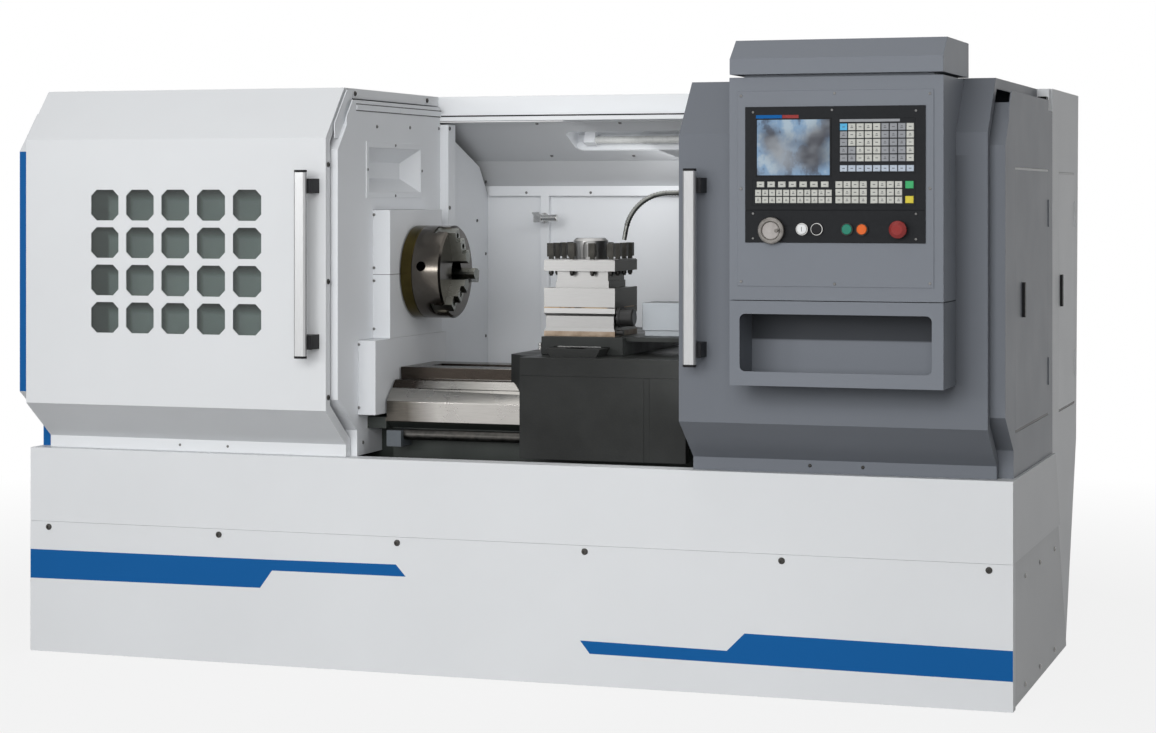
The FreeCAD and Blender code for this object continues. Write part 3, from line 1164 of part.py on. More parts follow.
def apron_cover():
    """Sheet cover in front of the saddle, with a joint groove near its right end."""
    x0, x1 = SADDLE_X, SADDLE_X + SADDLE_LENGTH
    y0, top = SADDLE_FRONT, SADDLE_LIP_Z - SEAT
    skirt = FACE_HIGH - 4 - SEAT
    deep = SPINDLE_Y - BED_HALF - 34
    outline = [(y0, APRON_BOTTOM), (y0, top), (y0 + 20 - SEAT, top), (y0 + 20 - SEAT, skirt),
               (deep, skirt), (deep, APRON_BOTTOM)]
    core = [(y0 + SHEET, APRON_BOTTOM - 1), (y0 + SHEET, top - SHEET),
            (y0 + 30, top - SHEET), (y0 + 30, skirt + 1), (deep + 9, skirt + 1),
            (deep + 9, APRON_BOTTOM - 1)]
    shell = prism_x(outline, x0, x1).cut(prism_x(core, x0 + SHEET, x1 - SHEET))
    groove = box(x0 + APRON_GROOVE_X, x0 + APRON_GROOVE_X + 18, y0 - 1, y0 + SHEET - 1,
                 APRON_BOTTOM - 1, top + 1)
    return shell.cut(groove)


def z_screw():
    x0, x1 = WAY_START + 10, BED_END + 44
    thread = rod((x0, Z_SCREW_Y, Z_SCREW_Z), X_AXIS, x1 - x0, Z_SCREW_R)
    return thread


def z_axis_motor():
    """Servo motor, its bracket on the bed's end and the screw's far bearing block."""
    x0, size = BED_END + 40, 55.0
    y, z = Z_SCREW_Y, Z_SCREW_Z
    web = SPINDLE_Y - BED_HALF + BED_WEB
    motor = box(x0, x0 + 150, y - size, y + size, z - size, z + size)
    edges = [e for e in motor.Edges if abs(e.tangentAt(e.FirstParameter).x) > 0.9]
    motor = motor.makeFillet(12, edges)
    bracket = box(BED_END + SEAT / 2, x0, y - size, web + 60, z - size, z + size)
    bore = rod((BED_END - 1, y, z), X_AXIS, 50, Z_SCREW_R + RUN)
    block_x = WAY_START + 15
    block = box(block_x, block_x + 46, y - 34, web - SEAT / 2, z - 34, FACE_LOW - 24)
    block_bore = rod((block_x - 1, y, z), X_AXIS, 48, Z_SCREW_R + RUN)
    return group([fuse([motor, bracket]).cut(bore), block.cut(block_bore)])


def cross_slide():
    x0, x1 = CROSS_X, CROSS_X + CROSS_WIDTH
    y0, y1 = CROSS_FRONT, CROSS_FRONT + CROSS_LENGTH
    mid, half, gap = (x0 + x1) / 2, DOVETAIL_TOP / 2, SEAT
    top = SADDLE_TOP + DOVETAIL_RISE + gap
    slab = box(x0, x1, y0, y1, SADDLE_TOP + gap, CROSS_TOP)
    tail = prism_y([(mid - half + DOVETAIL_UNDERCUT - gap, SADDLE_TOP - 1),
                    (mid - half - gap, top), (mid + half + gap, top),
                    (mid + half - DOVETAIL_UNDERCUT + gap, SADDLE_TOP - 1)], y0 - 1, y1 + 1)
    nut_y = y0 + 270
    nut = box(mid - 22, mid + 22, nut_y, nut_y + 60, INNER_WAY_Z + 9, top + 1)
    bore = rod((mid, nut_y - 1, X_SCREW_Z), Y_AXIS, 62, X_SCREW_R + RUN)
    near, far = x1 + 22, x1 + 200
    shelf = box(x1 - 1, far, y0 + 30, y0 + 250, CROSS_TOP - 14, CROSS_TOP)
    cover = box(near, far, y0 + 120, y0 + 250, CROSS_TOP + 16, CROSS_TOP + 98)
    cover = cover.fuse(box(near + 6, far - 6, y0 + 126, y0 + 244, CROSS_TOP - 1, CROSS_TOP + 17))
    hollow = box(near + 10, far - 10, y0 + 130, y0 + 240, CROSS_TOP + 2, CROSS_TOP + 94)
    slab = cut(slab, [tail])
    return cut(fuse([slab, nut, shelf, cover]), [bore, hollow])


def x_screw():
    mid = CROSS_X + CROSS_WIDTH / 2
    y0, y1 = SADDLE_FRONT + 80, SADDLE_REAR + 10
    return rod((mid, y0, X_SCREW_Z), Y_AXIS, y1 - y0, X_SCREW_R)


def x_axis_motor():
    """Belt housing on the saddle's rear end and a servo motor that hangs behind it."""
    mid = CROSS_X + CROSS_WIDTH / 2
    top = SADDLE_TOP - 2
    y0 = SADDLE_REAR + SEAT / 2
    outline = [(mid - 60, top), (mid - 60, top - 70), (mid - 75, top - 100), (mid - 75, 745),
               (mid + 75, 745), (mid + 75, top - 100), (mid + 60, top - 70), (mid + 60, top)]
    housing = prism_y(outline, y0, y0 + 40)
    motor = rounded_block(mid - 55, mid + 55, y0 + 40, y0 + 180, 750, 860, 12)
    bore = rod((mid, y0 - 1, X_SCREW_Z), Y_AXIS, 20, X_SCREW_R + RUN)
    return fuse([housing, motor]).cut(bore)


def turret_base():
    """Turret housing: square block on a broader foot, with its index motor at the side."""
    x, y, half = TURRET_X, TURRET_Y, TURRET_SIZE / 2
    z0, z1 = CROSS_TOP, CROSS_TOP + TURRET_BASE - SEAT
    waist = half - 5
    left = [(-half, z0), (-half, z0 + 16), (-waist, z0 + 24), (-waist, z1 - 26),
            (-half, z1 - 18), (-half, z1)]
    right = [(-offset, z) for offset, z in left[::-1]]
    block = prism_y([(x + offset, z) for offset, z in left + right], y - half, y + half)
    block = block.common(prism_x([(y + offset, z) for offset, z in left + right], x - half,
                                 x + half))
    motor = turned([(0, 0), (0, 30), (8, 30), (8, 26), (44, 26), (48, 22), (48, 0)],
                   (x + half, y - half + 40, z0 + 56), X_AXIS, Z_AXIS)
    knob = rod((x + half, y - half + 20, z0 + 12), X_AXIS, 20, 8)
    pivot = rod((x, y, z0 + 10), Z_AXIS, TURRET_BASE, 30 + RUN)
    return fuse([block, motor, knob]).cut(pivot)


def clamp_positions():
    """Three clamp screws a side, counted from one corner, so that they turn round the head."""
    half = TURRET_SIZE / 2
    spots = []
    for side in range(4):
        for along in CLAMP_ALONG:
            spots.append((side * 90, half - CLAMP_EDGE, along - half))
    return spots


def tool_head():
    """Four-way tool head: two plates on a neck, clamp screws all round and a cap on top."""
    x, y, half = TURRET_X, TURRET_Y, TURRET_SIZE / 2
    z0 = CROSS_TOP + TURRET_BASE
    z1 = z0 + TOOL_PLATE
    z2 = z1 + TOOL_GAP
    z3 = z2 + CLAMP_PLATE
    neck = NECK_SIZE / 2
    lower = box(x - half, x + half, y - half, y + half, z0, z1)
    upper = box(x - half, x + half, y - half, y + half, z2, z3)
    edges = [e for e in upper.Edges if e.BoundBox.ZMax > z3 - 1 and e.BoundBox.ZMin > z3 - 1]
    upper = upper.makeChamfer(4, edges)
    core = box(x - neck, x + neck, y - neck, y + neck, z1 - 1, z2 + 1)
    ledge = box(x - neck - 3, x + neck + 3, y - neck - 3, y + neck + 3, z1 - 1, z1 + 20)
    cap = turned([(0, 0), (0, CAP_R), (CAP_RISE - 8, CAP_R), (CAP_RISE, CAP_R - 8),
                  (CAP_RISE, 0)], (x, y, z3), Z_AXIS, X_AXIS)
    flat = box(x - 6, x + 6, y - CAP_R - 1, y - CAP_R + 8, z3 + 6, z3 + CAP_RISE - 14)
    pivot = rod((x, y, z0 - TURRET_BASE + 20), Z_AXIS, TURRET_BASE, 30)
    screws = []
    for turn, edge, along in clamp_positions():
        shank = box(x + edge - 6, x + edge + 6, y + along - 6, y + along + 6, z3 - 1, z3 + 9)
        head = box(x + edge - 10, x + edge + 10, y + along - 10, y + along + 10, z3 + 8,
                   z3 + CLAMP_RISE)
        for piece in (shank, head):
            piece.rotate(V(x, y, 0), Z_AXIS, turn)
            screws.append(piece)
    head = fuse([lower, upper, core, ledge, cap, pivot]).cut(flat)
    return fuse([head] + screws)


def coolant_pipe():
    """Metal hose: riser on the saddle, two broad bends and a nozzle over the tools."""
    edges = []
    last = HOSE_PATH[0]
    for before, corner, after in zip(HOSE_PATH, HOSE_PATH[1:], HOSE_PATH[2:]):
        back, ahead = (before - corner).normalize(), (after - corner).normalize()
        middle = (back + ahead).normalize()
        half = back.getAngle(ahead) / 2
        bend_r = HOSE_BEND * math.tan(half)
        start, end = corner + back * HOSE_BEND, corner + ahead * HOSE_BEND
        crest = corner + middle * (bend_r / math.sin(half) - bend_r)
        edges.append(Part.LineSegment(last, start).toShape())
        edges.append(Part.Arc(start, crest, end).toShape())
        last = end
    edges.append(Part.LineSegment(last, HOSE_PATH[-1]).toShape())
    foot = HOSE_PATH[0]
    section = Part.Wire(Part.Circle(foot, Z_AXIS, HOSE_R).toShape())
    hose = Part.Wire(edges).makePipeShell([section], True, False)
    base = turned([(0, 0), (0, 24), (8, 24), (10, 14), (26, 12), (26, 0)],
                  (foot.x, foot.y, SADDLE_TOP), Z_AXIS, X_AXIS)
    return fuse([hose, base])


# Tailstock ------------------------------------------------------------------------------

def tailstock_body():
    x0, x1 = TAIL_X, TAIL_X + TAIL_LENGTH
    y, z = SPINDLE_Y, SPINDLE_Z
    sole = box(x0, x1, y - INNER_HALF, y + INNER_HALF, INNER_WAY_Z + SEAT, INNER_WAY_Z + 46)
    waist = [(y - 120, INNER_WAY_Z + 40), (y - 84, INNER_WAY_Z + 90), (y - 66, z), (y + 66, z),
             (y + 84, INNER_WAY_Z + 90), (y + 120, INNER_WAY_Z + 40)]
    column = prism_x(waist, x0 + 24, x1 - 24)
    barrel = rod((x0 - 16, y, z), X_AXIS, TAIL_LENGTH + 16, BARREL_R)
    bore = rod((x0 - 17, y, z), X_AXIS, TAIL_LENGTH - 6, QUILL_R + RUN)
    thrust = rod((x1 - 30, y, z), X_AXIS, 40, 16 + RUN)
    pocket = box(x0 + 60, x1 - 60, y - 52, y + 52, INNER_WAY_Z + 20, z - BARREL_R - 12)
    key = box(x0 + 20, x1 - 20, y - CHIP_SLOT_HALF + 4, y + CHIP_SLOT_HALF - 4,
              INNER_WAY_Z - 40, INNER_WAY_Z + 20)
    lock = turned([(0, 0), (0, 16), (24, 12), (24, 0)], (x0 + 90, y, z + BARREL_R - 4),
                  Z_AXIS, X_AXIS)
    lever = rod((x0 + 90, y - 70, z + BARREL_R + 12), Y_AXIS, 74, 7)
    return cut(fuse([sole, column, barrel, key, lock, lever]), [bore, thrust, pocket])


def tailstock_quill():
    """Sleeve with a dead centre; hollow behind so that the screw runs inside it."""
    x0 = TAIL_X - 16 - QUILL_OUT
    tip = 68.0
    length = TAIL_LENGTH - 60
    profile = [(-tip, 0), (0, 24), (0, QUILL_R), (length, QUILL_R), (length, 15),
               (70, 15), (70, 0)]
    return turned(profile, (x0, SPINDLE_Y, SPINDLE_Z), X_AXIS, Z_AXIS)


def tailstock_handwheel():
    """Spoked wheel with a crank knob, on the screw that drives the quill."""
    x1, rim_r = TAIL_X + TAIL_LENGTH, TAIL_WHEEL_R
    centre = (x1, SPINDLE_Y, SPINDLE_Z)
    hub = turned([(SEAT, 0), (SEAT, 28), (36, 22), (36, 0)], centre, X_AXIS, Z_AXIS)
    rim = turned([(14, rim_r - 14), (18, rim_r), (30, rim_r), (34, rim_r - 14)], centre,
                 X_AXIS, Z_AXIS)
    spoke = box(x1 + 18, x1 + 30, SPINDLE_Y - 9, SPINDLE_Y + 9, SPINDLE_Z + 12,
                SPINDLE_Z + rim_r - 10)
    spokes = [around_spindle(spoke, i * 120) for i in range(3)]
    knob = turned([(20, 0), (20, 5), (38, 5), (44, 11), (88, 13), (88, 0)],
                  (x1, SPINDLE_Y, SPINDLE_Z + rim_r - 7), X_AXIS, Z_AXIS)
    screw = turned([(60 - TAIL_LENGTH, 0), (60 - TAIL_LENGTH, 12), (-28, 12), (-28, 16),
                    (20, 16), (20, 0)], centre, X_AXIS, Z_AXIS)
    return fuse([hub, rim, screw] + spokes + [knob])


PARTS = {
    "bed_casting": bed_casting,
    "pedestals": pedestals,
    "chip_tray": chip_tray,
    "front_base_panel": front_base_panel,
    "side_base_panels": side_base_panels,
    "headstock_housing": headstock_housing,
    "headstock_covers": headstock_covers,
    "left_guard": left_guard,
    "left_end_guard": left_end_guard,
    "right_guard": right_guard,
    "rear_guard": rear_guard,
    "top_rail": top_rail,
    "work_lamp": work_lamp,
    "lamp_tube": lamp_tube,
    "wall_tap": wall_tap,
    "electrical_cabinet": electrical_cabinet,
    "main_motor": main_motor,
    "drive_belts": drive_belts,
    "z_axis_motor": z_axis_motor,
    "coolant_unit": coolant_unit,
    "left_door_panel": left_door_panel,
    "left_door_pane": left_door_pane,
    "left_door_handle": left_door_handle,
    "right_door_panel": right_door_panel,
    "right_door_handle": right_door_handle,
    "control_box": control_box,
    "control_box_cap": control_box_cap,
    "storage_box": storage_box,
    "control_front_plate": control_front_plate,
    "operator_panel": operator_panel,
    "screen": screen,
    "pulse_handwheel": pulse_handwheel,
    "emergency_stop": emergency_stop,
    "service_door": service_door,
    "service_latch": service_latch,
    "cabinet_door": cabinet_door,
    "cabinet_latch": cabinet_latch,
    "spindle": spindle,
    "chuck_body": chuck_body,
    "motor_pulley": motor_pulley,
    "saddle": saddle,
    "apron_cover": apron_cover,
    "z_screw": z_screw,
    "cross_slide": cross_slide,
    "x_screw": x_screw,
    "x_axis_motor": x_axis_motor,
    "turret_base": turret_base,
    "tool_head": tool_head,
    "coolant_pipe": coolant_pipe,
    "tailstock_body": tailstock_body,
    "tailstock_quill": tailstock_quill,
    "tailstock_handwheel": tailstock_handwheel,
}


def build():
    shapes = {name: make() for name, make in PARTS.items()}
    for name, x in BUTTON_X.items():
        shapes[name] = push_button(x)
    for index in range(JAW_COUNT):
        shapes["jaw_" + str(index + 1)] = jaw(index)
    return shapes


def bottom_centre(shapes):
    bounds = FreeCAD.BoundBox()
    for shape in shapes.values():
        bounds.add(shape.BoundBox)
    return V((bounds.XMin + bounds.XMax) / 2, (bounds.YMin + bounds.YMax) / 2, bounds.ZMin)


os.makedirs("parts", exist_ok=True)
SHAPES = build()
ORIGIN = bottom_centre(SHAPES)
for node, shape in SHAPES.items():
    shape.translate(-ORIGIN)
    shape.exportStep("parts/" + node + ".step")
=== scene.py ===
# Looks of the full-guard turning lathe.  Places are written in millimetres in the drawing's
# frame, X along the spindle from the left end, Y from the operator to the rear and Z up, and
# mm() takes them to metres in the model's frame.
import math

import bmesh
import bpy
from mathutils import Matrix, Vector


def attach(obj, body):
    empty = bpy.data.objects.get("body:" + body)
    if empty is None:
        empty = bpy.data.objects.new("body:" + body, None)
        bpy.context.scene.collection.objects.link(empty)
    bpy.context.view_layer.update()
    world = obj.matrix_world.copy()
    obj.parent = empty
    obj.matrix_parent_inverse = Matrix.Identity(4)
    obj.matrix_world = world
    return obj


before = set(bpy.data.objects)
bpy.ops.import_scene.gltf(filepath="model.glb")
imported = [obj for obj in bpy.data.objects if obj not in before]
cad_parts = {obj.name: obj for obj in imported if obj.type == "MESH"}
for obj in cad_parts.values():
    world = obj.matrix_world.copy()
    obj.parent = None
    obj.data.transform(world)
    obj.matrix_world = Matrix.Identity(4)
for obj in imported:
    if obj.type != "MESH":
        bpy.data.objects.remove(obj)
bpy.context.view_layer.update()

DRAWING_ORIGIN = Vector((1500.0, 536.0, 0.0))


def mm(x, y, z):
    return (Vector((x, y, z)) - DRAWING_ORIGIN) / 1000.0


# Places that the looks and the added pieces share, in millimetres
CHUCK_REAR = 1113.0
BACKPLATE = 38.0
KEY_HOLE_X = 1181.0
KEY_HOLE_REACH = 15.5
SPINDLE_Y, SPINDLE_Z = 400.0, 1161.0
HANDLE_Z = (925.0, 1467.0)
HANDLE_BACK = -170.8
HANDLE_CAP = 7.0
SLIDE_TOP = 979.0
SLIDE_BOX_X = 1850.0
TURRET_CENTRE = (1687.0, 360.0)
TURRET_RIGHT = 1797.0
HEAD_FOOT, HEAD_TOP = 1065.0, 1205.0
WINDOW_X, WINDOW_Z = 271.0, 985.0
WINDOW_PITCH_X, WINDOW_PITCH_Z = 116.8, 111.5
STORE_MOUTH = -287.0
STORE_SHADE = 1003.0
STORE_TOP = 1096.0
SERVICE_LID, CABINET_LID = (745.0, 1471.0), (735.0, 1465.0)
BOX_SHADE = (2290, 2865, 815, 890)
BOX_SHADE_TOP = 1500.0
RAIL_FRONT, RAIL_LEDGE = 770.0, 735.0
RAIL_LEDGE_TOP = 1655.0
COVER_SEAM = 1157.0
BED_START = 1115.0
FLANK = (783.0, 819.0)
STEP_Y = 255.0
HOOD_FOLD = 1508.0
REAR_FRAME_TOP = 1425.0

# Distances that the materials measure, in metres, and the turned rings in radians per metre
SKIRT_TOP = 0.7215
CHUCK_RIM = 0.1385
CHUCK_BORE = 0.043
CAP_RADIUS = 0.056
BROW = (0.057, 0.085)
JAMB = (0.006, 0.022)
PEEL = 0.00012
RING_WAVES = 5200.0

WHITE = (0.755, 0.772, 0.79)
GREY = (0.174, 0.188, 0.212)
BLUE = (0.008, 0.108, 0.335)
INNER = (0.77, 0.79, 0.815)
BLACK = (0.014, 0.014, 0.014)
spindle_centre = mm(CHUCK_REAR, SPINDLE_Y, SPINDLE_Z)

# Materials ------------------------------------------------------------------------------

class Look:
    """One node material, with short ways to add textures to its Principled shader."""

    def __init__(self, name, **sockets):
        self.material = bpy.data.materials.new(name)
        self.material.use_nodes = True
        self.nodes = self.material.node_tree.nodes
        self.links = self.material.node_tree.links
        self.shader = self.nodes["Principled BSDF"]
        for socket, value in sockets.items():
            self.shader.inputs[socket.replace("_", " ")].default_value = value
        coord = self.nodes.new("ShaderNodeTexCoord")
        self.coord = coord.outputs["Object"]

    def link(self, output, node, socket):
        self.links.new(output, node.inputs[socket])

    def noise(self, scale, detail=3.0, stretch=(1, 1, 1), rough=0.55):
        """Noise in the object's own space, finer along axes that are stretched."""
        mapping = self.nodes.new("ShaderNodeMapping")
        mapping.inputs["Scale"].default_value = stretch
        self.link(self.coord, mapping, "Vector")
        node = self.nodes.new("ShaderNodeTexNoise")
        node.inputs["Scale"].default_value = scale
        node.inputs["Detail"].default_value = detail
        node.inputs["Roughness"].default_value = rough
        self.link(mapping.outputs["Vector"], node, "Vector")
        return node.outputs["Fac"]

    def ramp(self, value, stops, smooth=False):
        """Colours along a value, from pairs of a place and a colour."""
        node = self.nodes.new("ShaderNodeValToRGB")
        elements = node.color_ramp.elements
        while len(elements) < len(stops):
            elements.new(0.5)
        for element, (at, colour) in zip(elements, stops):
            element.position = at
            element.color = (*colour, 1.0)
        if smooth:
            node.color_ramp.interpolation = "EASE"
        self.link(value, node, "Fac")
        return node.outputs["Color"]

    def shades(self, value, colour, low, high):
        """One colour, between two strengths of itself."""
        return self.ramp(value, [(0.3, tint(colour, low)), (0.7, tint(colour, high))])

    def lines(self, value, dark, light):
        """Tool lines or turned rings between two colours."""
        return self.ramp(value, [(0.25, dark), (0.75, light)])

    def patches(self, value, dark, light):
        """Cloudy patches between two colours."""
        return self.ramp(value, [(0.3, dark), (0.7, light)])

    def spread(self, value, low, high, start=0.3, end=0.7):
        """Maps a range of a value onto another range."""
        node = self.nodes.new("ShaderNodeMapRange")
        for socket, number in (("From Min", start), ("From Max", end), ("To Min", low),
                               ("To Max", high)):
            node.inputs[socket].default_value = number
        self.link(value, node, "Value")
        return node.outputs["Result"]

    def math(self, operation, a, b=None):
        node = self.nodes.new("ShaderNodeMath")
        node.operation = operation
        for i, value in enumerate((a, b)):
            if value is None:
                continue
            if isinstance(value, (int, float)):
                node.inputs[i].default_value = value
            else:
                self.link(value, node, i)
        return node.outputs["Value"]

    def axis(self, name):
        node = self.nodes.new("ShaderNodeSeparateXYZ")
        self.link(self.coord, node, "Vector")
        return node.outputs[name]

    def facing(self, axis, least=0.7):
        """One on faces that look along an axis such as "X" or "-Y", nought elsewhere."""
        coord = self.nodes.new("ShaderNodeTexCoord")
        node = self.nodes.new("ShaderNodeSeparateXYZ")
        self.link(coord.outputs["Normal"], node, "Vector")
        value = node.outputs[axis[-1]]
        if axis[0] == "-":
            return self.math("LESS_THAN", value, -least)
        return self.math("GREATER_THAN", value, least)

    def fade(self, axis, start, end, low=0.0, high=1.0):
        """Maps a coordinate between two places in millimetres onto a range."""
        i = "XYZ".index(axis)
        return self.spread(self.axis(axis), low, high, mm(start, start, start)[i],
                           mm(end, end, end)[i])

    def distance(self, first, second, centre):
        """Distance from an axis through a centre, across two coordinates."""
        squares = []
        for name in (first, second):
            offset = self.math("SUBTRACT", self.axis(name), centre["XYZ".index(name)])
            squares.append(self.math("MULTIPLY", offset, offset))
        return self.math("SQRT", self.math("ADD", *squares))

    def past(self, axis, edge, side=1):
        """One where the coordinate lies past an edge in millimetres, nought elsewhere."""
        value = mm(edge, edge, edge)["XYZ".index(axis)]
        return self.math("GREATER_THAN" if side > 0 else "LESS_THAN", self.axis(axis), value)

    def every(self, *masks):
        """Product of masks: one where all of them are."""
        whole = masks[0]
        for mask in masks[1:]:
            whole = self.math("MULTIPLY", whole, mask)
        return whole

    def either(self, a, b):
        return self.math("MAXIMUM", a, b)

    def mix(self, factor, a, b, blend="MIX"):
        node = self.nodes.new("ShaderNodeMix")
        node.data_type = "RGBA"
        node.blend_type = blend
        sockets = [s for s in node.inputs if s.type == "RGBA"]
        for socket, value in zip(sockets, (a, b)):
            if isinstance(value, tuple):
                socket.default_value = (*value, 1.0)
            else:
                self.links.new(value, socket)
        if isinstance(factor, float):
            node.inputs["Factor"].default_value = factor
        else:
            self.link(factor, node, "Factor")
        return [s for s in node.outputs if s.type == "RGBA"][0]

    def colour(self, output):
        self.link(output, self.shader, "Base Color")

    def roughness(self, output):
        self.link(output, self.shader, "Roughness")

    def metal(self, output):
        self.link(output, self.shader, "Metallic")

    def bump(self, value, strength, distance):
        node = self.nodes.new("ShaderNodeBump")
        node.inputs["Strength"].default_value = strength
        node.inputs["Distance"].default_value = distance
        self.link(value, node, "Height")
        self.link(node.outputs["Normal"], self.shader, "Normal")


def tint(colour, factor):
    """Colour made darker or lighter, up to full white."""
    return tuple(min(1.0, c * factor) for c in colour)


class Coat(Look):
    """Stoved paint on sheet metal: faint clouds, fine orange peel and an uneven gloss."""

    def __init__(self, name, low, high):
        super().__init__(name, Specular_IOR_Level=0.1)
        self.clouds = self.noise(1.7, 4.0)
        self.roughness(self.spread(self.noise(6.0, 5.0), low, high))
        self.bump(self.noise(420.0, 2.0), 0.35, PEEL)

    def paint(self, colour, low=0.975, high=1.015):
        return self.shades(self.clouds, colour, low, high)


def powder_coat(name, colour, rough=0.42, side=None):
    """Plain coat, or one with a painted highlight: a lighter copy of the coat on faces towards +X.
    """
    look = Coat(name, rough - 0.015, rough + 0.025)
    coat = look.paint(colour)
    if side:
        # Painted highlight: faces towards +X take a lighter copy of the coat.
        coat = look.mix(look.facing("X"), coat, look.paint(side))
    look.colour(coat)
    return look.material


def cast_paint(name, colour, rough=0.5, gloss=0.5):
    """Machine enamel over a casting: grainy, with darker oily patches."""
    look = Look(name, Specular_IOR_Level=gloss)
    patches = look.noise(5.0, 6.0)
    look.colour(look.ramp(patches, [(0.28, tint(colour, 0.7)), (0.72, tint(colour, 1.3))]))
    look.roughness(look.spread(look.noise(11.0, 4.0), rough - 0.12, rough + 0.1))
    look.bump(look.noise(160.0, 4.0), 0.5, 0.0006)
    return look.material


def machined(name, dark, light, rough=0.3, stretch=(1, 30, 30), scale=26.0):
    """Ground or milled steel with tool lines along one axis and faint oily stains."""
    look = Look(name, Metallic=1.0)
    lines = look.noise(scale, 4.0, stretch)
    stains = look.noise(4.0, 5.0)
    shade = look.ramp(stains, [(0.25, (0.8, 0.78, 0.74)), (0.65, (1.0, 1.0, 1.0))])
    look.colour(look.mix(1.0, look.lines(lines, dark, light), shade, "MULTIPLY"))
    look.roughness(look.spread(lines, rough - 0.07, rough + 0.1))
    look.bump(lines, 0.25, 0.00015)
    return look.material


def plastic(name, colour, rough=0.4, grain=0.0001, **sockets):
    """Moulded plastic with a fine spark-eroded grain."""
    look = Look(name, **sockets)
    look.colour(look.shades(look.noise(60.0, 3.0), colour, 0.93, 1.05))
    look.roughness(look.spread(look.noise(90.0, 2.0), rough - 0.05, rough + 0.07))
    look.bump(look.noise(1400.0, 2.0), 0.3, grain)
    return look.material


def turned_face(name, dark, light, rough, oil=None):
    """Steel turned on a lathe: fine rings about the spindle's axis and darker oily streaks."""
    look = Look(name, Metallic=1.0, Anisotropic=0.6 if oil else 0.0)
    radius = look.distance("Y", "Z", spindle_centre)
    rings = look.math("SINE", look.math("MULTIPLY", radius, RING_WAVES))
    rims = look.math("SINE", look.math("MULTIPLY", look.axis("X"), RING_WAVES))
    lines = look.math("ADD", look.math("MULTIPLY", rings, 0.1), look.math("MULTIPLY", rims, 0.1))
    grain = look.math("ADD", lines, look.noise(9.0, 6.0))
    steel = look.lines(grain, dark, light)
    if oil:
        tangent = look.nodes.new("ShaderNodeTangent")
        tangent.direction_type = "RADIAL"
        tangent.axis = "X"
        look.link(tangent.outputs["Tangent"], look.shader, "Tangent")
        plate = look.past("X", CHUCK_REAR + BACKPLATE, -1)
        film = look.patches(grain, tint(oil, 0.5), oil)
        # Painted shade: faces looking along +X take a darker copy of the turned steel.
        front = look.lines(grain, tint(dark, 0.95), tint(light, 0.75))
        steel = look.mix(look.facing("X"), steel, front)
        steel = look.mix(plate, steel, film)
        # Painted shade: the inside of the key hole and the bore are filled with near black.
        key = look.every(look.past("X", KEY_HOLE_X - KEY_HOLE_REACH),
                         look.past("X", KEY_HOLE_X + KEY_HOLE_REACH, -1),
                         look.math("LESS_THAN", radius, CHUCK_RIM))
        hollow_shade = look.either(key, look.math("LESS_THAN", radius, CHUCK_BORE))
        steel = look.mix(hollow_shade, steel, (0.006, 0.006, 0.006))
    look.colour(steel)
    look.roughness(look.spread(look.noise(14.0, 4.0), rough - 0.02, rough + 0.05))
    return look.material


def bed_steel():
    """Bed casting: ground ways above the skirt, dark enamel below and under the headstock, and
    painted reflection and shade on the ground steel.
    """
    look = Look("bed_ground_ways")
    height = look.axis("Z")
    along = look.axis("X")
    ground = look.every(look.math("GREATER_THAN", height, SKIRT_TOP),
                        look.math("GREATER_THAN", along, mm(BED_START - 3, 0, 0).x))
    lines = look.noise(24.0, 4.0, (1, 40, 40))
    bright = look.lines(lines, (0.37, 0.357, 0.338), (0.455, 0.44, 0.42))
    brown = look.lines(lines, (0.085, 0.078, 0.068), (0.14, 0.128, 0.112))
    flank_reflection = look.lines(lines, (0.33, 0.32, 0.30), (0.45, 0.435, 0.41))
    top_reflection = look.lines(lines, (0.09, 0.08, 0.07), (0.15, 0.135, 0.12))
    shadow = look.lines(lines, (0.034, 0.028, 0.024), (0.062, 0.052, 0.044))
    # Browner and darker towards the headstock end; there the upper flank takes the painted shadow
    # colour.
    edge = look.math("ADD", along, look.math("MULTIPLY", look.noise(7.0), 0.05))
    headstock_end = look.spread(edge, 1.0, 0.0, mm(BED_START + 95, 0, 0).x, mm(BED_START + 185, 0, 0).x)
    upper_flank_shade = look.mix(headstock_end, flank_reflection, shadow)
    steel = look.mix(headstock_end, bright, brown)
    # Painted reflection and shade: bands by height, darker tops, and the shadow colour on faces
    # past STEP_Y that look to the front.
    steel = look.mix(look.past("Z", FLANK[0]), steel, flank_reflection)
    steel = look.mix(look.past("Z", FLANK[1]), steel, upper_flank_shade)
    steel = look.mix(look.facing("Z", 0.9), steel, top_reflection)
    steel = look.mix(look.every(look.past("Y", STEP_Y), look.facing("-Y", 0.9)), steel, shadow)
    paint = look.patches(look.noise(5.0, 5.0), (0.019, 0.023, 0.021), (0.038, 0.044, 0.040))
    look.colour(look.mix(ground, paint, steel))
    look.metal(ground)
    look.roughness(look.math("SUBTRACT", look.spread(look.noise(12.0, 4.0), 0.42, 0.56),
                             look.math("MULTIPLY", ground, 0.2)))
    look.bump(look.noise(150.0, 4.0), 0.25, 0.0004)
    return look.material


def handle_look():
    """Anodised bar between black end caps, on black brackets."""
    look = Look("handle_bar_and_caps", Specular_IOR_Level=0.12)
    low, high = HANDLE_Z
    black = look.either(look.past("Y", HANDLE_BACK),
                        look.either(look.past("Z", low + HANDLE_CAP, -1),
                                    look.past("Z", high - HANDLE_CAP)))
    lines = look.noise(30.0, 4.0, (40, 40, 1))
    bar = look.lines(lines, (0.46, 0.465, 0.47), (0.58, 0.585, 0.59))
    cap = look.patches(look.noise(60.0), (0.012, 0.012, 0.013), (0.018, 0.018, 0.02))
    look.colour(look.mix(black, bar, cap))
    look.metal(look.math("SUBTRACT", 0.7, look.math("MULTIPLY", black, 0.7)))
    look.roughness(look.spread(lines, 0.3, 0.44))
    return look.material


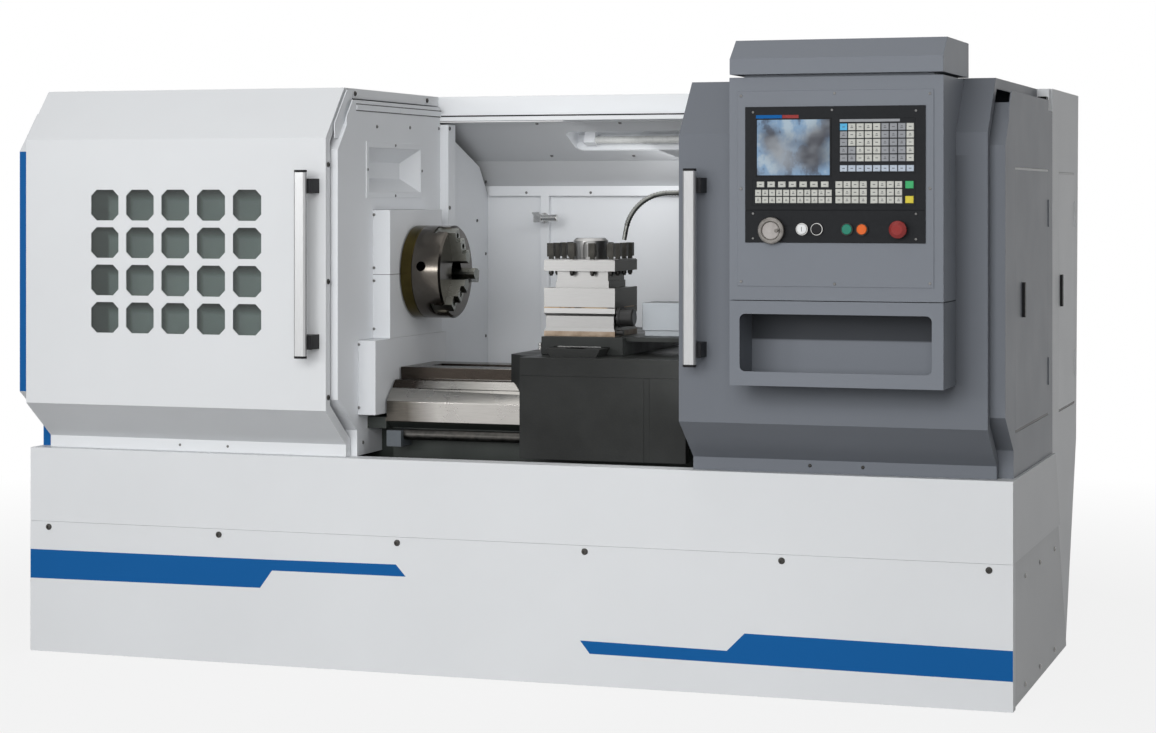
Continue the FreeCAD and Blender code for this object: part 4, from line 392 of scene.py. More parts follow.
def slide_look():
    """Cross slide in black enamel with the pale sheet box on its right-hand shelf."""
    look = Look("cross_slide_enamel", Specular_IOR_Level=0.25)
    pale = look.every(look.past("X", SLIDE_BOX_X), look.past("Z", SLIDE_TOP + 0.2))
    patches = look.noise(5.0, 6.0)
    enamel = look.ramp(patches, [(0.28, (0.0125, 0.0135, 0.013)), (0.72, (0.023, 0.025, 0.024))])
    sheet = look.ramp(patches, [(0.28, (0.27, 0.29, 0.31)), (0.72, (0.31, 0.33, 0.35))])
    # Painted shade: the sheet box's top faces take a darker copy of its grey.
    sheet = look.mix(look.facing("Z"), sheet, (0.20, 0.215, 0.225))
    look.colour(look.mix(pale, enamel, sheet))
    look.roughness(look.spread(look.noise(11.0, 4.0), 0.32, 0.5))
    look.bump(look.noise(160.0, 4.0), 0.3, 0.0004)
    return look.material


def turret_steel():
    """Milled turret housing with an oily brown foot, and its black index motor."""
    look = Look("turret_housing_steel")
    black = look.past("X", TURRET_RIGHT + 0.3)
    foot = look.past("Z", SLIDE_TOP + 15, -1)
    lines = look.noise(26.0, 4.0, (1, 1, 26))
    steel = look.lines(lines, (0.44, 0.436, 0.43), (0.48, 0.476, 0.47))
    foot_steel = look.lines(lines, (0.36, 0.357, 0.352), (0.40, 0.396, 0.39))
    steel = look.mix(look.past("Z", HEAD_FOOT - 26, -1), steel, foot_steel)
    shade = look.lines(lines, (0.075, 0.072, 0.062), (0.13, 0.125, 0.11))
    steel = look.mix(look.facing("X"), steel, shade)
    shim = look.ramp(look.noise(22.0, 2.0, (1, 1, 0.2)), [(0.42, (0.05, 0.045, 0.04)),
                                                          (0.58, (0.34, 0.24, 0.13))])
    steel = look.mix(look.past("Z", HEAD_FOOT - 3.2), steel, shim)
    oil = look.patches(look.noise(18.0, 4.0), (0.20, 0.145, 0.10), (0.42, 0.35, 0.28))
    look.colour(look.mix(black, look.mix(foot, steel, oil), BLACK))
    look.metal(look.math("SUBTRACT", 1.0, look.math("MULTIPLY", black, 0.8)))
    look.roughness(look.spread(lines, 0.33, 0.38))
    look.bump(lines, 0.05, 0.00003)
    return look.material


def tool_head_steel():
    """Tool head: milled plates and cap, blackened clamp screws round the cap."""
    look = Look("tool_head_steel")
    radius = look.distance("X", "Y", mm(*TURRET_CENTRE, 0))
    black = look.every(look.math("GREATER_THAN", radius, CAP_RADIUS),
                       look.past("Z", HEAD_TOP + 0.5))
    lines = look.noise(30.0, 4.0, (1, 1, 26))
    steel = look.lines(lines, (0.39, 0.387, 0.382), (0.43, 0.426, 0.42))
    shade = look.lines(lines, (0.075, 0.072, 0.062), (0.13, 0.125, 0.11))
    right = look.every(look.facing("X"), look.past("Z", HEAD_TOP + 0.5, -1))
    steel = look.mix(right, steel, shade)
    oxide = look.patches(look.noise(40.0, 3.0), (0.018, 0.017, 0.014), (0.045, 0.042, 0.036))
    look.colour(look.mix(black, steel, oxide))
    look.metal(look.math("SUBTRACT", 1.0, look.math("MULTIPLY", black, 0.5)))
    look.roughness(look.math("ADD", look.spread(lines, 0.3, 0.36),
                             look.math("MULTIPLY", black, 0.08)))
    look.bump(lines, 0.05, 0.00003)
    return look.material


def rail_look():
    """White beam with the black rubber stops that stand on its ledge."""
    look = Coat("rail_coat_and_stops", 0.4, 0.46)
    stop = look.every(look.past("Y", RAIL_FRONT - 0.5, -1), look.past("Z", RAIL_LEDGE_TOP + 1))
    look.colour(look.mix(stop, look.paint(WHITE, 1.08, 1.12), BLACK))
    return look.material


def cover_look():
    """Headstock covers: white sheet with the joint between the halves of the upper one."""
    look = Coat("cover_coat_and_joint", 0.34, 0.39)
    joint = look.every(look.past("Z", COVER_SEAM - 0.9), look.past("Z", COVER_SEAM + 0.9, -1))
    look.colour(look.mix(joint, look.paint(INNER, 0.9, 0.93), (0.16, 0.16, 0.165)))
    return look.material


def rear_wall_look():
    """White sheet wall and hood, with painted shade on the inward faces, deeper on the hood and
    deepest in the recess between the hood's fold and the frame.
    """
    look = Coat("rear_wall_coat", 0.34, 0.39)
    # Painted shade: faces looking to the front or down take darker copies of the white, darker
    # still on the hood above its fold.
    inner = look.mix(look.past("Z", HOOD_FOLD), look.paint(INNER, 0.88, 0.91),
                     look.paint(INNER, 0.72, 0.75))
    within = look.either(look.facing("-Y", 0.3), look.facing("-Z", 0.3))
    # Painted shade, deepest, in the recess between the hood's fold and the frame.
    recess = look.every(look.past("Z", REAR_FRAME_TOP + 1), look.past("Z", HOOD_FOLD, -1))
    look.colour(look.mix(recess, look.mix(within, look.paint(INNER, 0.98, 1.01), inner),
                         look.paint(INNER, 0.56, 0.6)))
    return look.material


def end_look():
    """Blue left end, with the white of the doors on its slanting edges."""
    look = Coat("blue_end_coat", 0.34, 0.39)
    slant = look.math("SUBTRACT", look.facing("-Y", 0.3), look.facing("-Y", 0.95))
    look.colour(look.mix(slant, look.paint(BLUE, 0.97, 1.02), look.paint(WHITE, 0.96, 1.0)))
    return look.material


def door_look(name, colour, shade=None):
    """Door coat, with painted shade on faces that look down and, on one door, a painted shadow
    under the storage box.
    """
    look = Coat(name, 0.38, 0.43)
    # Painted shade: faces that look down take a darker copy of the coat.
    coat = look.mix(look.facing("-Z", 0.3), look.paint(colour), look.paint(colour, 0.83, 0.88))
    if shade:
        left, right, foot, top = shade
        # Painted shadow of the storage box on the door face below it.
        under_box_shadow = look.every(look.facing("-Y", 0.95), look.past("Z", BOX_SHADE_TOP, -1),
                               look.fade("Z", foot, top), look.fade("X", left - 40, left + 20),
                               look.fade("X", right - 30, right + 40, 1.0, 0.0))
        coat = look.mix(under_box_shadow, coat, look.paint(colour, 0.5, 0.54))
    look.colour(coat)
    return look.material


def lid_look(name, colour, low, high):
    """Side door: coat with a painted highlight along its top edge and painted shadow along its
    foot.
    """
    look = Coat(name, 0.38, 0.43)
    # Painted highlight along the top edge and painted shadow along the foot.
    top_edge_highlight = look.patches(look.clouds, (0.62, 0.63, 0.64), (0.68, 0.69, 0.70))
    foot = look.patches(look.clouds, (0.02, 0.02, 0.02), (0.03, 0.03, 0.03))
    coat = look.mix(look.past("Z", high - 7), look.paint(colour), top_edge_highlight)
    look.colour(look.mix(look.past("Z", low + 8, -1), coat, foot))
    return look.material


def storage_look():
    """Pale grey coat, in shade under the roof of the open pocket."""
    look = Coat("storage_coat", 0.38, 0.43)
    height = look.math("ADD", look.axis("Z"), look.math("MULTIPLY", look.noise(5.0), 0.002))
    roof = look.spread(height, 0.0, 1.0, mm(0, 0, STORE_SHADE - 3).z, mm(0, 0, STORE_SHADE + 2).z)
    inside = look.every(look.past("Y", STORE_MOUTH), look.past("Z", STORE_TOP, -1),
                        look.either(look.facing("-Y", 0.3), look.facing("-Z", 0.3)))
    look.colour(look.mix(look.math("MULTIPLY", inside, roof), look.paint(GREY, 1.13, 1.18),
                         look.paint(GREY, 0.3, 0.34)))
    return look.material


def window_pane():
    """Tinted polycarbonate, streaked, with painted shade towards each opening's top and left."""
    look = Look("tinted_window", Transmission_Weight=0.82, IOR=1.45, Roughness=0.08)
    tinted = look.patches(look.noise(3.0, 3.0), (0.27, 0.325, 0.31), (0.35, 0.415, 0.395))
    # Painted shade of the frame's reveals: darker towards each opening's top and left, and over
    # the first column's left part.
    rise = look.math("SUBTRACT", look.axis("Z"), mm(0, 0, WINDOW_Z).z)
    rise = look.math("MODULO", rise, WINDOW_PITCH_Z / 1000)
    brow = look.spread(rise, 0.0, 0.8, *BROW)
    run = look.math("SUBTRACT", look.axis("X"), mm(WINDOW_X, 0, 0).x)
    run = look.math("MODULO", run, WINDOW_PITCH_X / 1000)
    jamb = look.spread(run, 0.6, 0.0, *JAMB)
    first_column = look.fade("X", WINDOW_X + 52, WINDOW_X + 62, 0.55, 0.0)
    reveal_shade = look.either(look.either(brow, jamb), first_column)
    look.colour(look.mix(reveal_shade, tinted, (0.045, 0.055, 0.052)))
    look.roughness(look.spread(look.noise(16.0, 4.0, (4, 4, 1)), 0.05, 0.16))
    return look.material


def screen_picture():
    """Lit display: a soft blue and grey picture of nothing in particular."""
    look = Look("screen_picture", Roughness=0.12, Base_Color=(0.02, 0.02, 0.025, 1.0))
    blobs = look.noise(13.0, 4.0, (1, 1, 0.8), 0.6)
    veil = look.noise(7.0, 3.0, (0.7, 1, 1.3))
    blue = look.ramp(blobs, [(0.38, (0.035, 0.05, 0.075)), (0.46, (0.10, 0.16, 0.25)),
                             (0.53, (0.27, 0.46, 0.70)), (0.64, (0.55, 0.70, 0.82))], True)
    grey = look.ramp(veil, [(0.4, (0.035, 0.04, 0.055)), (0.62, (0.42, 0.46, 0.50))], True)
    picture = look.mix(look.spread(look.noise(5.0, 2.0), 0.0, 1.0, 0.5, 0.66), blue, grey)
    look.link(picture, look.shader, "Emission Color")
    look.shader.inputs["Emission Strength"].default_value = 0.6
    return look.material


white_paint = powder_coat("white_powder_coat", WHITE)
# Painted shade: the base's side panels take a darker copy of the white coat.
shaded_side_white = powder_coat("side_base_coat", tint(WHITE, 0.87))
inner_white = powder_coat("inner_white_coat", INNER, 0.36)
grey_paint = powder_coat("grey_powder_coat", GREY, 0.4)
# Painted highlight: the control box's faces towards +X take a lighter grey than its front.
box_paint = powder_coat("pale_grey_powder_coat", tint(GREY, 1.16), 0.4, side=tint(GREY, 1.5))
blue_paint = powder_coat("blue_powder_coat", BLUE, 0.36)
black_cast = cast_paint("black_machine_enamel", (0.018, 0.019, 0.0185), 0.42, 0.2)
grey_cast = cast_paint("grey_casting_enamel", (0.14, 0.15, 0.16))
motor_paint = cast_paint("motor_grey_enamel", (0.07, 0.08, 0.09), 0.45)
steel_x = machined("ground_steel", (0.46, 0.44, 0.41), (0.68, 0.66, 0.62))
steel_y = machined("milled_steel", (0.50, 0.49, 0.47), (0.74, 0.73, 0.71), 0.3, (30, 1, 30))
dark_steel = machined("blackened_steel", (0.05, 0.05, 0.048), (0.12, 0.115, 0.11), 0.36,
                      (1, 1, 1), 60.0)
chrome = machined("bright_chrome", (0.70, 0.70, 0.70), (0.88, 0.88, 0.87), 0.16, (1, 1, 1), 80.0)
chuck_steel = turned_face("turned_chuck_steel", (0.09, 0.081, 0.071), (0.165, 0.15, 0.132), 0.15,
                          (0.115, 0.09, 0.03))
jaw_steel = turned_face("hardened_jaw_steel", (0.18, 0.185, 0.165), (0.42, 0.425, 0.39), 0.27)
zinc = machined("zinc_screw", (0.20, 0.20, 0.20), (0.36, 0.36, 0.36), 0.34, (1, 1, 1), 60.0)
rail_coat = rail_look()
cover_coat = cover_look()
rear_coat = rear_wall_look()
storage_coat = storage_look()
end_coat = end_look()
service_coat = lid_look("service_door_coat", GREY, *SERVICE_LID)
cabinet_coat = lid_look("cabinet_door_coat", tint(WHITE, 1.1), *CABINET_LID)
left_door_coat = door_look("left_door_coat", WHITE)
right_door_coat = door_look("right_door_coat", GREY, BOX_SHADE)
cabinet_white = powder_coat("cabinet_coat", tint(WHITE, 1.1))
handle_metal = handle_look()
slide_enamel = slide_look()
turret_metal = turret_steel()
black_plastic = plastic("black_panel_plastic", (0.017, 0.018, 0.020), 0.45,
                        Specular_IOR_Level=0.12)
dark_plastic = plastic("dark_grey_plastic", (0.014, 0.014, 0.0155), 0.5,
                       Specular_IOR_Level=0.2)
rubber = plastic("black_rubber", (0.012, 0.012, 0.012), 0.7, 0.0004)
dark_seal = plastic("grey_seal", (0.09, 0.09, 0.092), 0.6, 0.0002)
red_plastic = plastic("red_plastic", (0.23, 0.011, 0.009), 0.36)
green_plastic = plastic("green_plastic", (0.006, 0.18, 0.118), 0.36)
orange_plastic = plastic("orange_plastic", (0.66, 0.115, 0.010), 0.36)
white_plastic = plastic("white_plastic", (0.74, 0.75, 0.76), 0.36)
key_pale = plastic("pale_key_plastic", (0.52, 0.525, 0.49), 0.45)
key_grey = plastic("grey_key_plastic", (0.27, 0.28, 0.30), 0.45)
key_blue = plastic("pale_blue_key_plastic", (0.44, 0.50, 0.58), 0.45)
key_cyan = plastic("cyan_key_plastic", (0.085, 0.40, 0.66), 0.45)
key_green = plastic("green_key_plastic", (0.04, 0.36, 0.13), 0.45)
key_yellow = plastic("yellow_key_plastic", (0.62, 0.52, 0.05), 0.45)
key_ink = plastic("key_ink", (0.09, 0.09, 0.10), 0.6)
tube_glass = plastic("frosted_tube", (0.62, 0.63, 0.62), 0.3)
dial_metal = machined("satin_dial", (0.16, 0.15, 0.14), (0.34, 0.325, 0.31), 0.36, (1, 1, 1), 60.0)
dial_face_metal = machined("satin_dial_face", (0.30, 0.28, 0.27), (0.46, 0.44, 0.43), 0.4,
                           (1, 1, 1), 50.0)
hose_metal = machined("gooseneck_metal", (0.16, 0.165, 0.155), (0.42, 0.43, 0.41), 0.3,
                      (1, 1, 1), 40.0)
pane = window_pane()
picture = screen_picture()
ways = bed_steel()
head_steel = tool_head_steel()

NODE_LOOKS = {
    "bed_casting": ways, "pedestals": grey_cast, "chip_tray": white_paint,
    "front_base_panel": white_paint, "side_base_panels": shaded_side_white,
    "headstock_housing": grey_cast, "headstock_covers": cover_coat,
    "left_guard": inner_white, "left_end_guard": end_coat, "right_guard": grey_paint,
    "rear_guard": rear_coat, "top_rail": rail_coat, "work_lamp": inner_white,
    "lamp_tube": tube_glass, "wall_tap": chrome, "electrical_cabinet": cabinet_white,
    "main_motor": motor_paint, "drive_belts": rubber, "z_axis_motor": motor_paint,
    "coolant_unit": grey_cast,
    "left_door_panel": left_door_coat, "left_door_pane": pane, "left_door_handle": handle_metal,
    "right_door_panel": right_door_coat, "right_door_handle": handle_metal,
    "control_box": box_paint, "control_box_cap": box_paint, "storage_box": storage_coat,
    "control_front_plate": box_paint, "operator_panel": black_plastic, "screen": dark_plastic,
    "pulse_handwheel": dial_metal, "emergency_stop": red_plastic, "start_button": white_plastic,
    "hold_button": dark_plastic, "power_on_button": green_plastic,
    "power_off_button": orange_plastic, "service_door": service_coat,
    "service_latch": dark_plastic, "cabinet_door": cabinet_coat, "cabinet_latch": dark_plastic,
    "spindle": steel_x, "chuck_body": chuck_steel, "jaw_1": jaw_steel, "jaw_2": jaw_steel,
    "jaw_3": jaw_steel, "motor_pulley": steel_x, "saddle": black_cast,
    "apron_cover": black_cast, "coolant_pipe": hose_metal, "x_axis_motor": motor_paint,
    "z_screw": dark_steel, "cross_slide": slide_enamel, "turret_base": turret_metal,
    "x_screw": steel_y, "tool_head": head_steel, "tailstock_body": grey_cast,
    "tailstock_quill": steel_x, "tailstock_handwheel": chrome,
}
CASTINGS = {"bed_casting", "pedestals", "headstock_housing", "saddle", "tailstock_body",
            "main_motor", "z_axis_motor", "x_axis_motor", "cross_slide"}
PLAIN_MESH = {"chuck_body", "jaw_1", "jaw_2", "jaw_3", "lamp_tube", "drive_belts", "z_screw",
              "x_screw", "left_door_pane", "screen", "coolant_pipe"}
CASTING_EDGE = 0.0022
SHEET_EDGE = 0.0009
EDGE_ANGLE = math.radians(32)


def dress(node, look):
    """Gives a CAD node its material and, but for round or thin ones, softened edges."""
    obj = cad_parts[node]
    obj.data.materials.clear()
    obj.data.materials.append(look)
    if node in PLAIN_MESH:
        return
    weld = obj.modifiers.new("weld", "WELD")
    weld.merge_threshold = 0.00001
    edge = obj.modifiers.new("edge", "BEVEL")
    edge.width = CASTING_EDGE if node in CASTINGS else SHEET_EDGE
    edge.segments = 2
    edge.limit_method = "ANGLE"
    edge.angle_limit = EDGE_ANGLE
    edge.harden_normals = True


for node_name, node_look in NODE_LOOKS.items():
    dress(node_name, node_look)


# Mesh helpers ---------------------------------------------------------------------------

def shown(name, mesh, looks):
    """Turns a bmesh into an object in the scene."""
    data = bpy.data.meshes.new(name)
    mesh.to_mesh(data)
    mesh.free()
    obj = bpy.data.objects.new(name, data)
    bpy.context.collection.objects.link(obj)
    for look in looks:
        data.materials.append(look)
    return obj


def piece(name, mesh, body, look):
    """Turns a bmesh into a shown piece that rides on one body."""
    obj = shown(name, mesh, look if isinstance(look, list) else [look])
    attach(obj, body)


def loft(mesh, rings, index=0):
    """Joins rings of points with quads and closes both ends."""
    rows = [[mesh.verts.new(p) for p in ring] for ring in rings]
    count = len(rows[0])
    for a, b in zip(rows, rows[1:]):
        for i in range(count):
            j = (i + 1) % count
            mesh.faces.new((a[i], a[j], b[j], b[i])).material_index = index
    for row in (rows[0][::-1], rows[-1]):
        mesh.faces.new(row).material_index = index


def across(axis):
    """Two unit vectors square to an axis."""
    guide = Vector((0, 0, 1)) if abs(axis.z) < 0.9 else Vector((1, 0, 0))
    side = axis.cross(guide).normalized()
    return side, axis.cross(side).normalized()


def turn(mesh, centre, axis, profile, sides=16):
    """Solid of revolution of (distance along axis, radius) in millimetres."""
    axis = Vector(axis).normalized()
    u, v = across(axis)
    rings = []
    for along, radius in profile:
        ring_points = []
        for i in range(sides):
            angle = 2 * math.pi * i / sides
            offset = u * math.cos(angle) + v * math.sin(angle)
            ring_points.append(mm(*(Vector(centre) + axis * along + offset * radius)))
        rings.append(ring_points)
    loft(mesh, rings)


def slab(mesh, low, high, bevel=0.6, index=0):
    """Block between two corners in millimetres with its long edges taken off."""
    (x0, y0, z0), (x1, y1, z1) = low, high
    b = min(bevel, (x1 - x0) / 3, (z1 - z0) / 3, (y1 - y0) / 2)
    rings = []
    for y, inset in ((y0, b), (y0 + b, 0), (y1 - b, 0), (y1, b)):
        rings.append([mm(x, y, z) for x, z in (
            (x0 + inset, z0 + inset), (x1 - inset, z0 + inset),
            (x1 - inset, z1 - inset), (x0 + inset, z1 - inset))])
    loft(mesh, rings, index)


def ring(mesh, centre, axis, inner, outer, height, sides=40, index=0):
    """Flat ring with rounded lips, closed on itself."""
    axis = Vector(axis).normalized()
    u, v = across(axis)
    lip = min(0.8, height / 3)
    section = [(0, inner), (height - lip, inner), (height, inner + lip), (height, outer - lip),
               (height - lip, outer), (0, outer)]
    rows = []
    for i in range(sides):
        angle = 2 * math.pi * i / sides
        out = u * math.cos(angle) + v * math.sin(angle)
        rows.append([mesh.verts.new(mm(*(Vector(centre) + axis * a + out * r)))
                     for a, r in section])
    for i in range(sides):
        a, b = rows[i], rows[(i + 1) % sides]
        for j in range(len(section)):
            k = (j + 1) % len(section)
            mesh.faces.new((a[j], a[k], b[k], b[j])).material_index = index


def slabs(name, blocks, bevel, body, look):
    """One piece made of blocks; a list of looks is given to them in turn."""
    mesh = bmesh.new()
    for i, (low, high) in enumerate(blocks):
        slab(mesh, low, high, bevel, i if isinstance(look, list) else 0)
    piece(name, mesh, body, look)


def sheets(name, outlines, depth, body, look):
    """One piece made of thin plates, outlines of points raised along a vector."""
    mesh = bmesh.new()
    for outline in outlines:
        raised = [Vector(p) + Vector(depth) for p in outline]
        loft(mesh, [[mm(*p) for p in outline], [mm(*p) for p in raised]])
    piece(name, mesh, body, look)


def turnings(name, places, axis, profile, sides, body, look):
    """One piece made of equal solids of revolution."""
    mesh = bmesh.new()
    for place in places:
        turn(mesh, place, axis, profile, sides)
    piece(name, mesh, body, look)


def screws(name, places, axis, radius, body, look=dark_steel):
    """Button-head screws with hexagon sockets."""
    r = radius
    head = [(-0.3, r), (0.25 * r, r), (0.5 * r, 0.82 * r), (0.62 * r, 0.5 * r),
            (0.62 * r, 0.42 * r), (0.3 * r, 0.4 * r)]
    turnings(name, places, axis, head, 12, body, look)


# Base: stripes and panel screws ---------------------------------------------------------

FRONT = (0, -1, 0)
RIGHT = (1, 0, 0)
UP = (0, 0, 1)
DOWN = (0, 0, -1)
VINYL = 0.5

left_band = [(0.5, 313), (799, 316), (1208, 320), (1239, 286), (812, 284), (773, 231), (0.5, 225)]
right_band = [(1773, 130), (1802, 94), (2999.5, 86), (2999.5, 169), (2255, 176), (2204, 125)]
sheets("base_stripes", [[(x, 0.05, z) for x, z in band] for band in (left_band, right_band)],
       (0, -VINYL, 0), "machine", blue_paint)
screws("base_front_screws", [(x, 0, 383) for x in (64, 638, 1212, 1787, 2361, 2935)], FRONT, 9.5,
       "machine")
screws("base_side_screws", [(2994, y, z) for z in (336, 35) for y in (250, 530, 822)], RIGHT, 7.0,
       "machine", zinc)

# Doors and guards: screws ---------------------------------------------------------------

WALL = 1055
COVER_FRONT = 190

screws("left_door_edge_screws", [(1035, -95, z) for z in (808, 1144, 1483)], RIGHT, 8.0,
       "left_door")
screws("left_door_roof_screws", [(1035, y, 1696) for y in (100, 671)], RIGHT, 7.5, "left_door")
screws("left_door_foot_screws", [(x, 35, 643) for x in (491, 650)], FRONT, 4.0, "left_door", zinc)
screws("right_door_foot_screws", [(x, 35, 645) for x in (2433, 2582)], FRONT, 5.0, "right_door")
wall_spots = [(219, 1601), (480, 1605), (722, 1608), (1066, 1311), (1148, 1199), (1148, 1440),
              (1148, 924), (113, 660)]
flange_spots = [(143, 1471), (572, 1471), (357, 1547), (357, 1393)]
screws("guard_wall_screws", [(WALL, y, z) for y, z in wall_spots], RIGHT, 5.5, "machine", zinc)
screws("pocket_flange_screws", [(WALL + 3, y, z) for y, z in flange_spots], RIGHT, 4.5, "machine",
       zinc)
screws("post_screws", [(WALL + 28, 745, z) for z in (1608, 1355)], RIGHT, 6.5, "machine", zinc)
cover_spots = [(1058, COVER_FRONT, z) for z in (1336, 1177, 1138, 994)]
cover_spots += [(1057, 78, z) for z in (953, 766)]
screws("headstock_cover_screws", cover_spots, FRONT, 4.5, "machine", zinc)
screws("rear_wall_screws", [(x, 1149, 1404) for x in (1200, 1426, 1860, 2080)], FRONT, 4.5,
       "machine", zinc)
HOOD_INWARD = (0, -120, -293)
hood_spots = [(1353, 822, 1624), (1631, 822, 1624), (1320, 1062, 1525), (1601, 1066, 1524)]
screws("hood_screws", hood_spots, HOOD_INWARD, 5.5, "machine", zinc)

# Lips that carry the guards' roof strips forward over the fold, a filler between the left
# guard's sheets, strips along its wall and the rail's rubber seal
LIP_SIDE = [(60, 1644.5), (60, 1675.5), (39, 1675.5), (-6, 1624), (-6, 1598), (35, 1644.5)]
FILLER_SIDE = [(60, 1640), (60, 1704), (23, 1704), (-65, 1604), (-65, 1560), (-20, 1560)]
sheets("left_roof_lip", [[(1052, y, z) for y, z in LIP_SIDE]], (3, 0, 0), "machine",
       inner_white)
sheets("right_roof_lip", [[(2987, y, z) for y, z in LIP_SIDE]], (3, 0, 0), "machine",
       grey_paint)
slabs("wall_guide_strips", [((WALL, y0, 1646.5), (WALL + 2.5, y1, 1662.5))
                            for y0, y1 in ((66, 400), (402, 742))],
      0.5, "machine", inner_white)
sheets("left_gap_filler", [[(1041, y, z) for y, z in FILLER_SIDE]], (2.5, 0, 0), "machine",
       inner_white)
slabs("wall_guide_seals", [((WALL, 62, z), (WALL + 1.5, 744, z + 3.0)) for z in (1643.5, 1662.5)],
      0.3, "machine", dark_seal)
slabs("rail_seal", [((1058, RAIL_LEDGE - 0.6, 1645), (2092, RAIL_LEDGE + 0.2, 1649.5))],
      0.2, "machine", rubber)

# Operator panel -------------------------------------------------------------------------

DOOR = 2097
PANEL = -297.0
PLATE = -293
KEY_FACE = PANEL - 1.0
KEY_GAP = 1.3
KEY_LOOKS = [key_pale, key_grey, key_blue, key_cyan, key_green, key_yellow]
PALE, DIM, COOL, CYAN, GREEN, YELLOW = range(6)
BUTTONS_Z = 1304
DIAL_X, DIAL_Z = DOOR + 312, 1300

plate_spots = [(DOOR + x, PLATE, z) for x in (226, 733) for z in (1164, 1411, 1658)]
plate_spots += [(DOOR + 480, PLATE, z) for z in (1160, 1662)]
screws("front_plate_screws", plate_spots, FRONT, 4.0, "right_door", zinc)
panel_spots = [(DOOR + x, PANEL, z) for x in (260, 697) for z in (1279, 1345, 1614)]
panel_spots.append((DOOR + 474, PANEL, 1618))
screws("operator_panel_screws", panel_spots, FRONT, 3.4, "right_door", zinc)

keys = bmesh.new()
marks = bmesh.new()


def key(x0, z1, width, height, look=PALE, mark=1):
    """Key hung from its top left corner, with up to two short printed marks."""
    x1, z0 = x0 + width, z1 - height
    slab(keys, (DOOR + x0 + KEY_GAP, KEY_FACE - 2.2, z0 + KEY_GAP),
         (DOOR + x1 - KEY_GAP, KEY_FACE, z1 - KEY_GAP), 1.1, look)
    middle_x, middle_z = DOOR + (x0 + x1) / 2, (z0 + z1) / 2
    for i in range(mark):
        z = middle_z + (i - (mark - 1) / 2) * 4.2
        reach = width * 0.16 * (1.0 if i % 2 == 0 else 0.6)
        slab(marks, (middle_x - reach, KEY_FACE - 2.45, z - 1.0),
             (middle_x + reach, KEY_FACE - 2.15, z + 1.0), 0.1)


def keypad_look(row, col):
    """Colour of a key in the large keypad beside the screen."""
    if row == 0 and col == 0:
        return CYAN
    return DIM if col == 0 or 5 <= col <= 7 or (col == 1 and row > 2) else PALE


for row in range(5):
    for col in range(9):
        key(494.5 + col * 22.1, 1583.0 - row * 20.4, 22.1, 20.4, keypad_look(row, col),
            1 + (row + col) % 2)
for col in range(9):
    key(494.5 + col * 22.1, 1473.5, 22.1, 19.0, COOL)
for col in range(7):
    key(269.5 + col * 29.0, 1431.0, 23.0, 17.5)
for row in range(2):
    for col in range(11):
        key(265.0 + col * 19.1, 1409.5 - row * 19.0, 19.1, 19.0, PALE, 1 + (row + col) % 2)
for block in (482.5, 576.0):
    for row in range(3):
        for col in range(4):
            key(block + col * 21.6, 1431.5 - row * 20.2, 21.6, 20.0, PALE, 1 + col % 2)
key(668.0, 1432.0, 24.5, 22.0, GREEN, 0)
key(668.0, 1393.0, 24.5, 21.5, YELLOW, 0)
piece("panel_keys", keys, "right_door", KEY_LOOKS)
piece("panel_key_marks", marks, "right_door", key_ink)

slabs("panel_header_strips", [((DOOR + 268, PANEL - 0.5, 1597), (DOOR + 339, PANEL + 0.1, 1606)),
                              ((DOOR + 340, PANEL - 0.5, 1597), (DOOR + 384, PANEL + 0.1, 1606)),
                              ((DOOR + 495, PANEL - 1.5, 1586), (DOOR + 655, PANEL - 0.9, 1593))],
      0.2, "right_door", [blue_paint, red_plastic, key_grey])
slabs("screen_picture",
      [((DOOR + 270.5, PANEL + 0.4, 1446.5), (DOOR + 467.5, PANEL + 1.1, 1593.5))],
      0.2, "right_door", picture)
bezel_sides = (((269.5, 1443), (468.5, 1446)), ((269.5, 1594), (468.5, 1597)),
               ((266, 1443), (269.5, 1597)), ((468.5, 1443), (472, 1597)))
slabs("screen_bezel", [((DOOR + x0, PANEL - 2.2, z0), (DOOR + x1, PANEL + 0.1, z1))
                       for (x0, z0), (x1, z1) in bezel_sides],
      0.8, "right_door", dark_plastic)

button_rings = bmesh.new()
for x, tone in ((394, 0), (434, 0), (515, 1), (555, 1)):
    ring(button_rings, (DOOR + x, PANEL - 6, BUTTONS_Z), FRONT, 14.0, 16.2, 1.6, index=tone)
piece("button_rings", button_rings, "right_door", [chrome, dark_steel])
slabs("start_symbol", [((DOOR + 393.2, PANEL - 10.3, 1298), (DOOR + 394.8, PANEL - 9.9, 1310))],
      0.1, "start_key", key_ink)


def dial_point(angle, radius, y, aside=0.0):
    """Point on the hand dial at a radius, moved aside along the rim."""
    c, s = math.cos(angle), math.sin(angle)
    return (DIAL_X + radius * c - aside * s, y, DIAL_Z + radius * s + aside * c)


turnings("dial_knurl", [dial_point(2 * math.pi * i / 60, 34.8, PANEL - 2.5) for i in range(60)],
         FRONT, [(0, 0.9), (1, 1.2), (12, 1.2), (13, 0.7)], 5, "pulse_dial", dial_metal)
ticks = []
for i in range(50):
    inner = 27.5 if i % 5 == 0 else 29.0
    ticks.append([dial_point(2 * math.pi * i / 50, radius, PANEL - 20.35, aside)
                  for radius, aside in ((inner, -0.25), (31.6, -0.25), (31.6, 0.25),
                                        (inner, 0.25))])
sheets("dial_ticks", ticks, (0, 0.3, 0), "pulse_dial", key_ink)
turnings("dial_face", [(DIAL_X, PANEL - 16.2, DIAL_Z)], FRONT,
         [(0, 22.4), (0.6, 22.4), (0.9, 21.8)], 48, "pulse_dial", dial_face_metal)

# Turret: tips of the clamp screws in the tool slots -------------------------------------

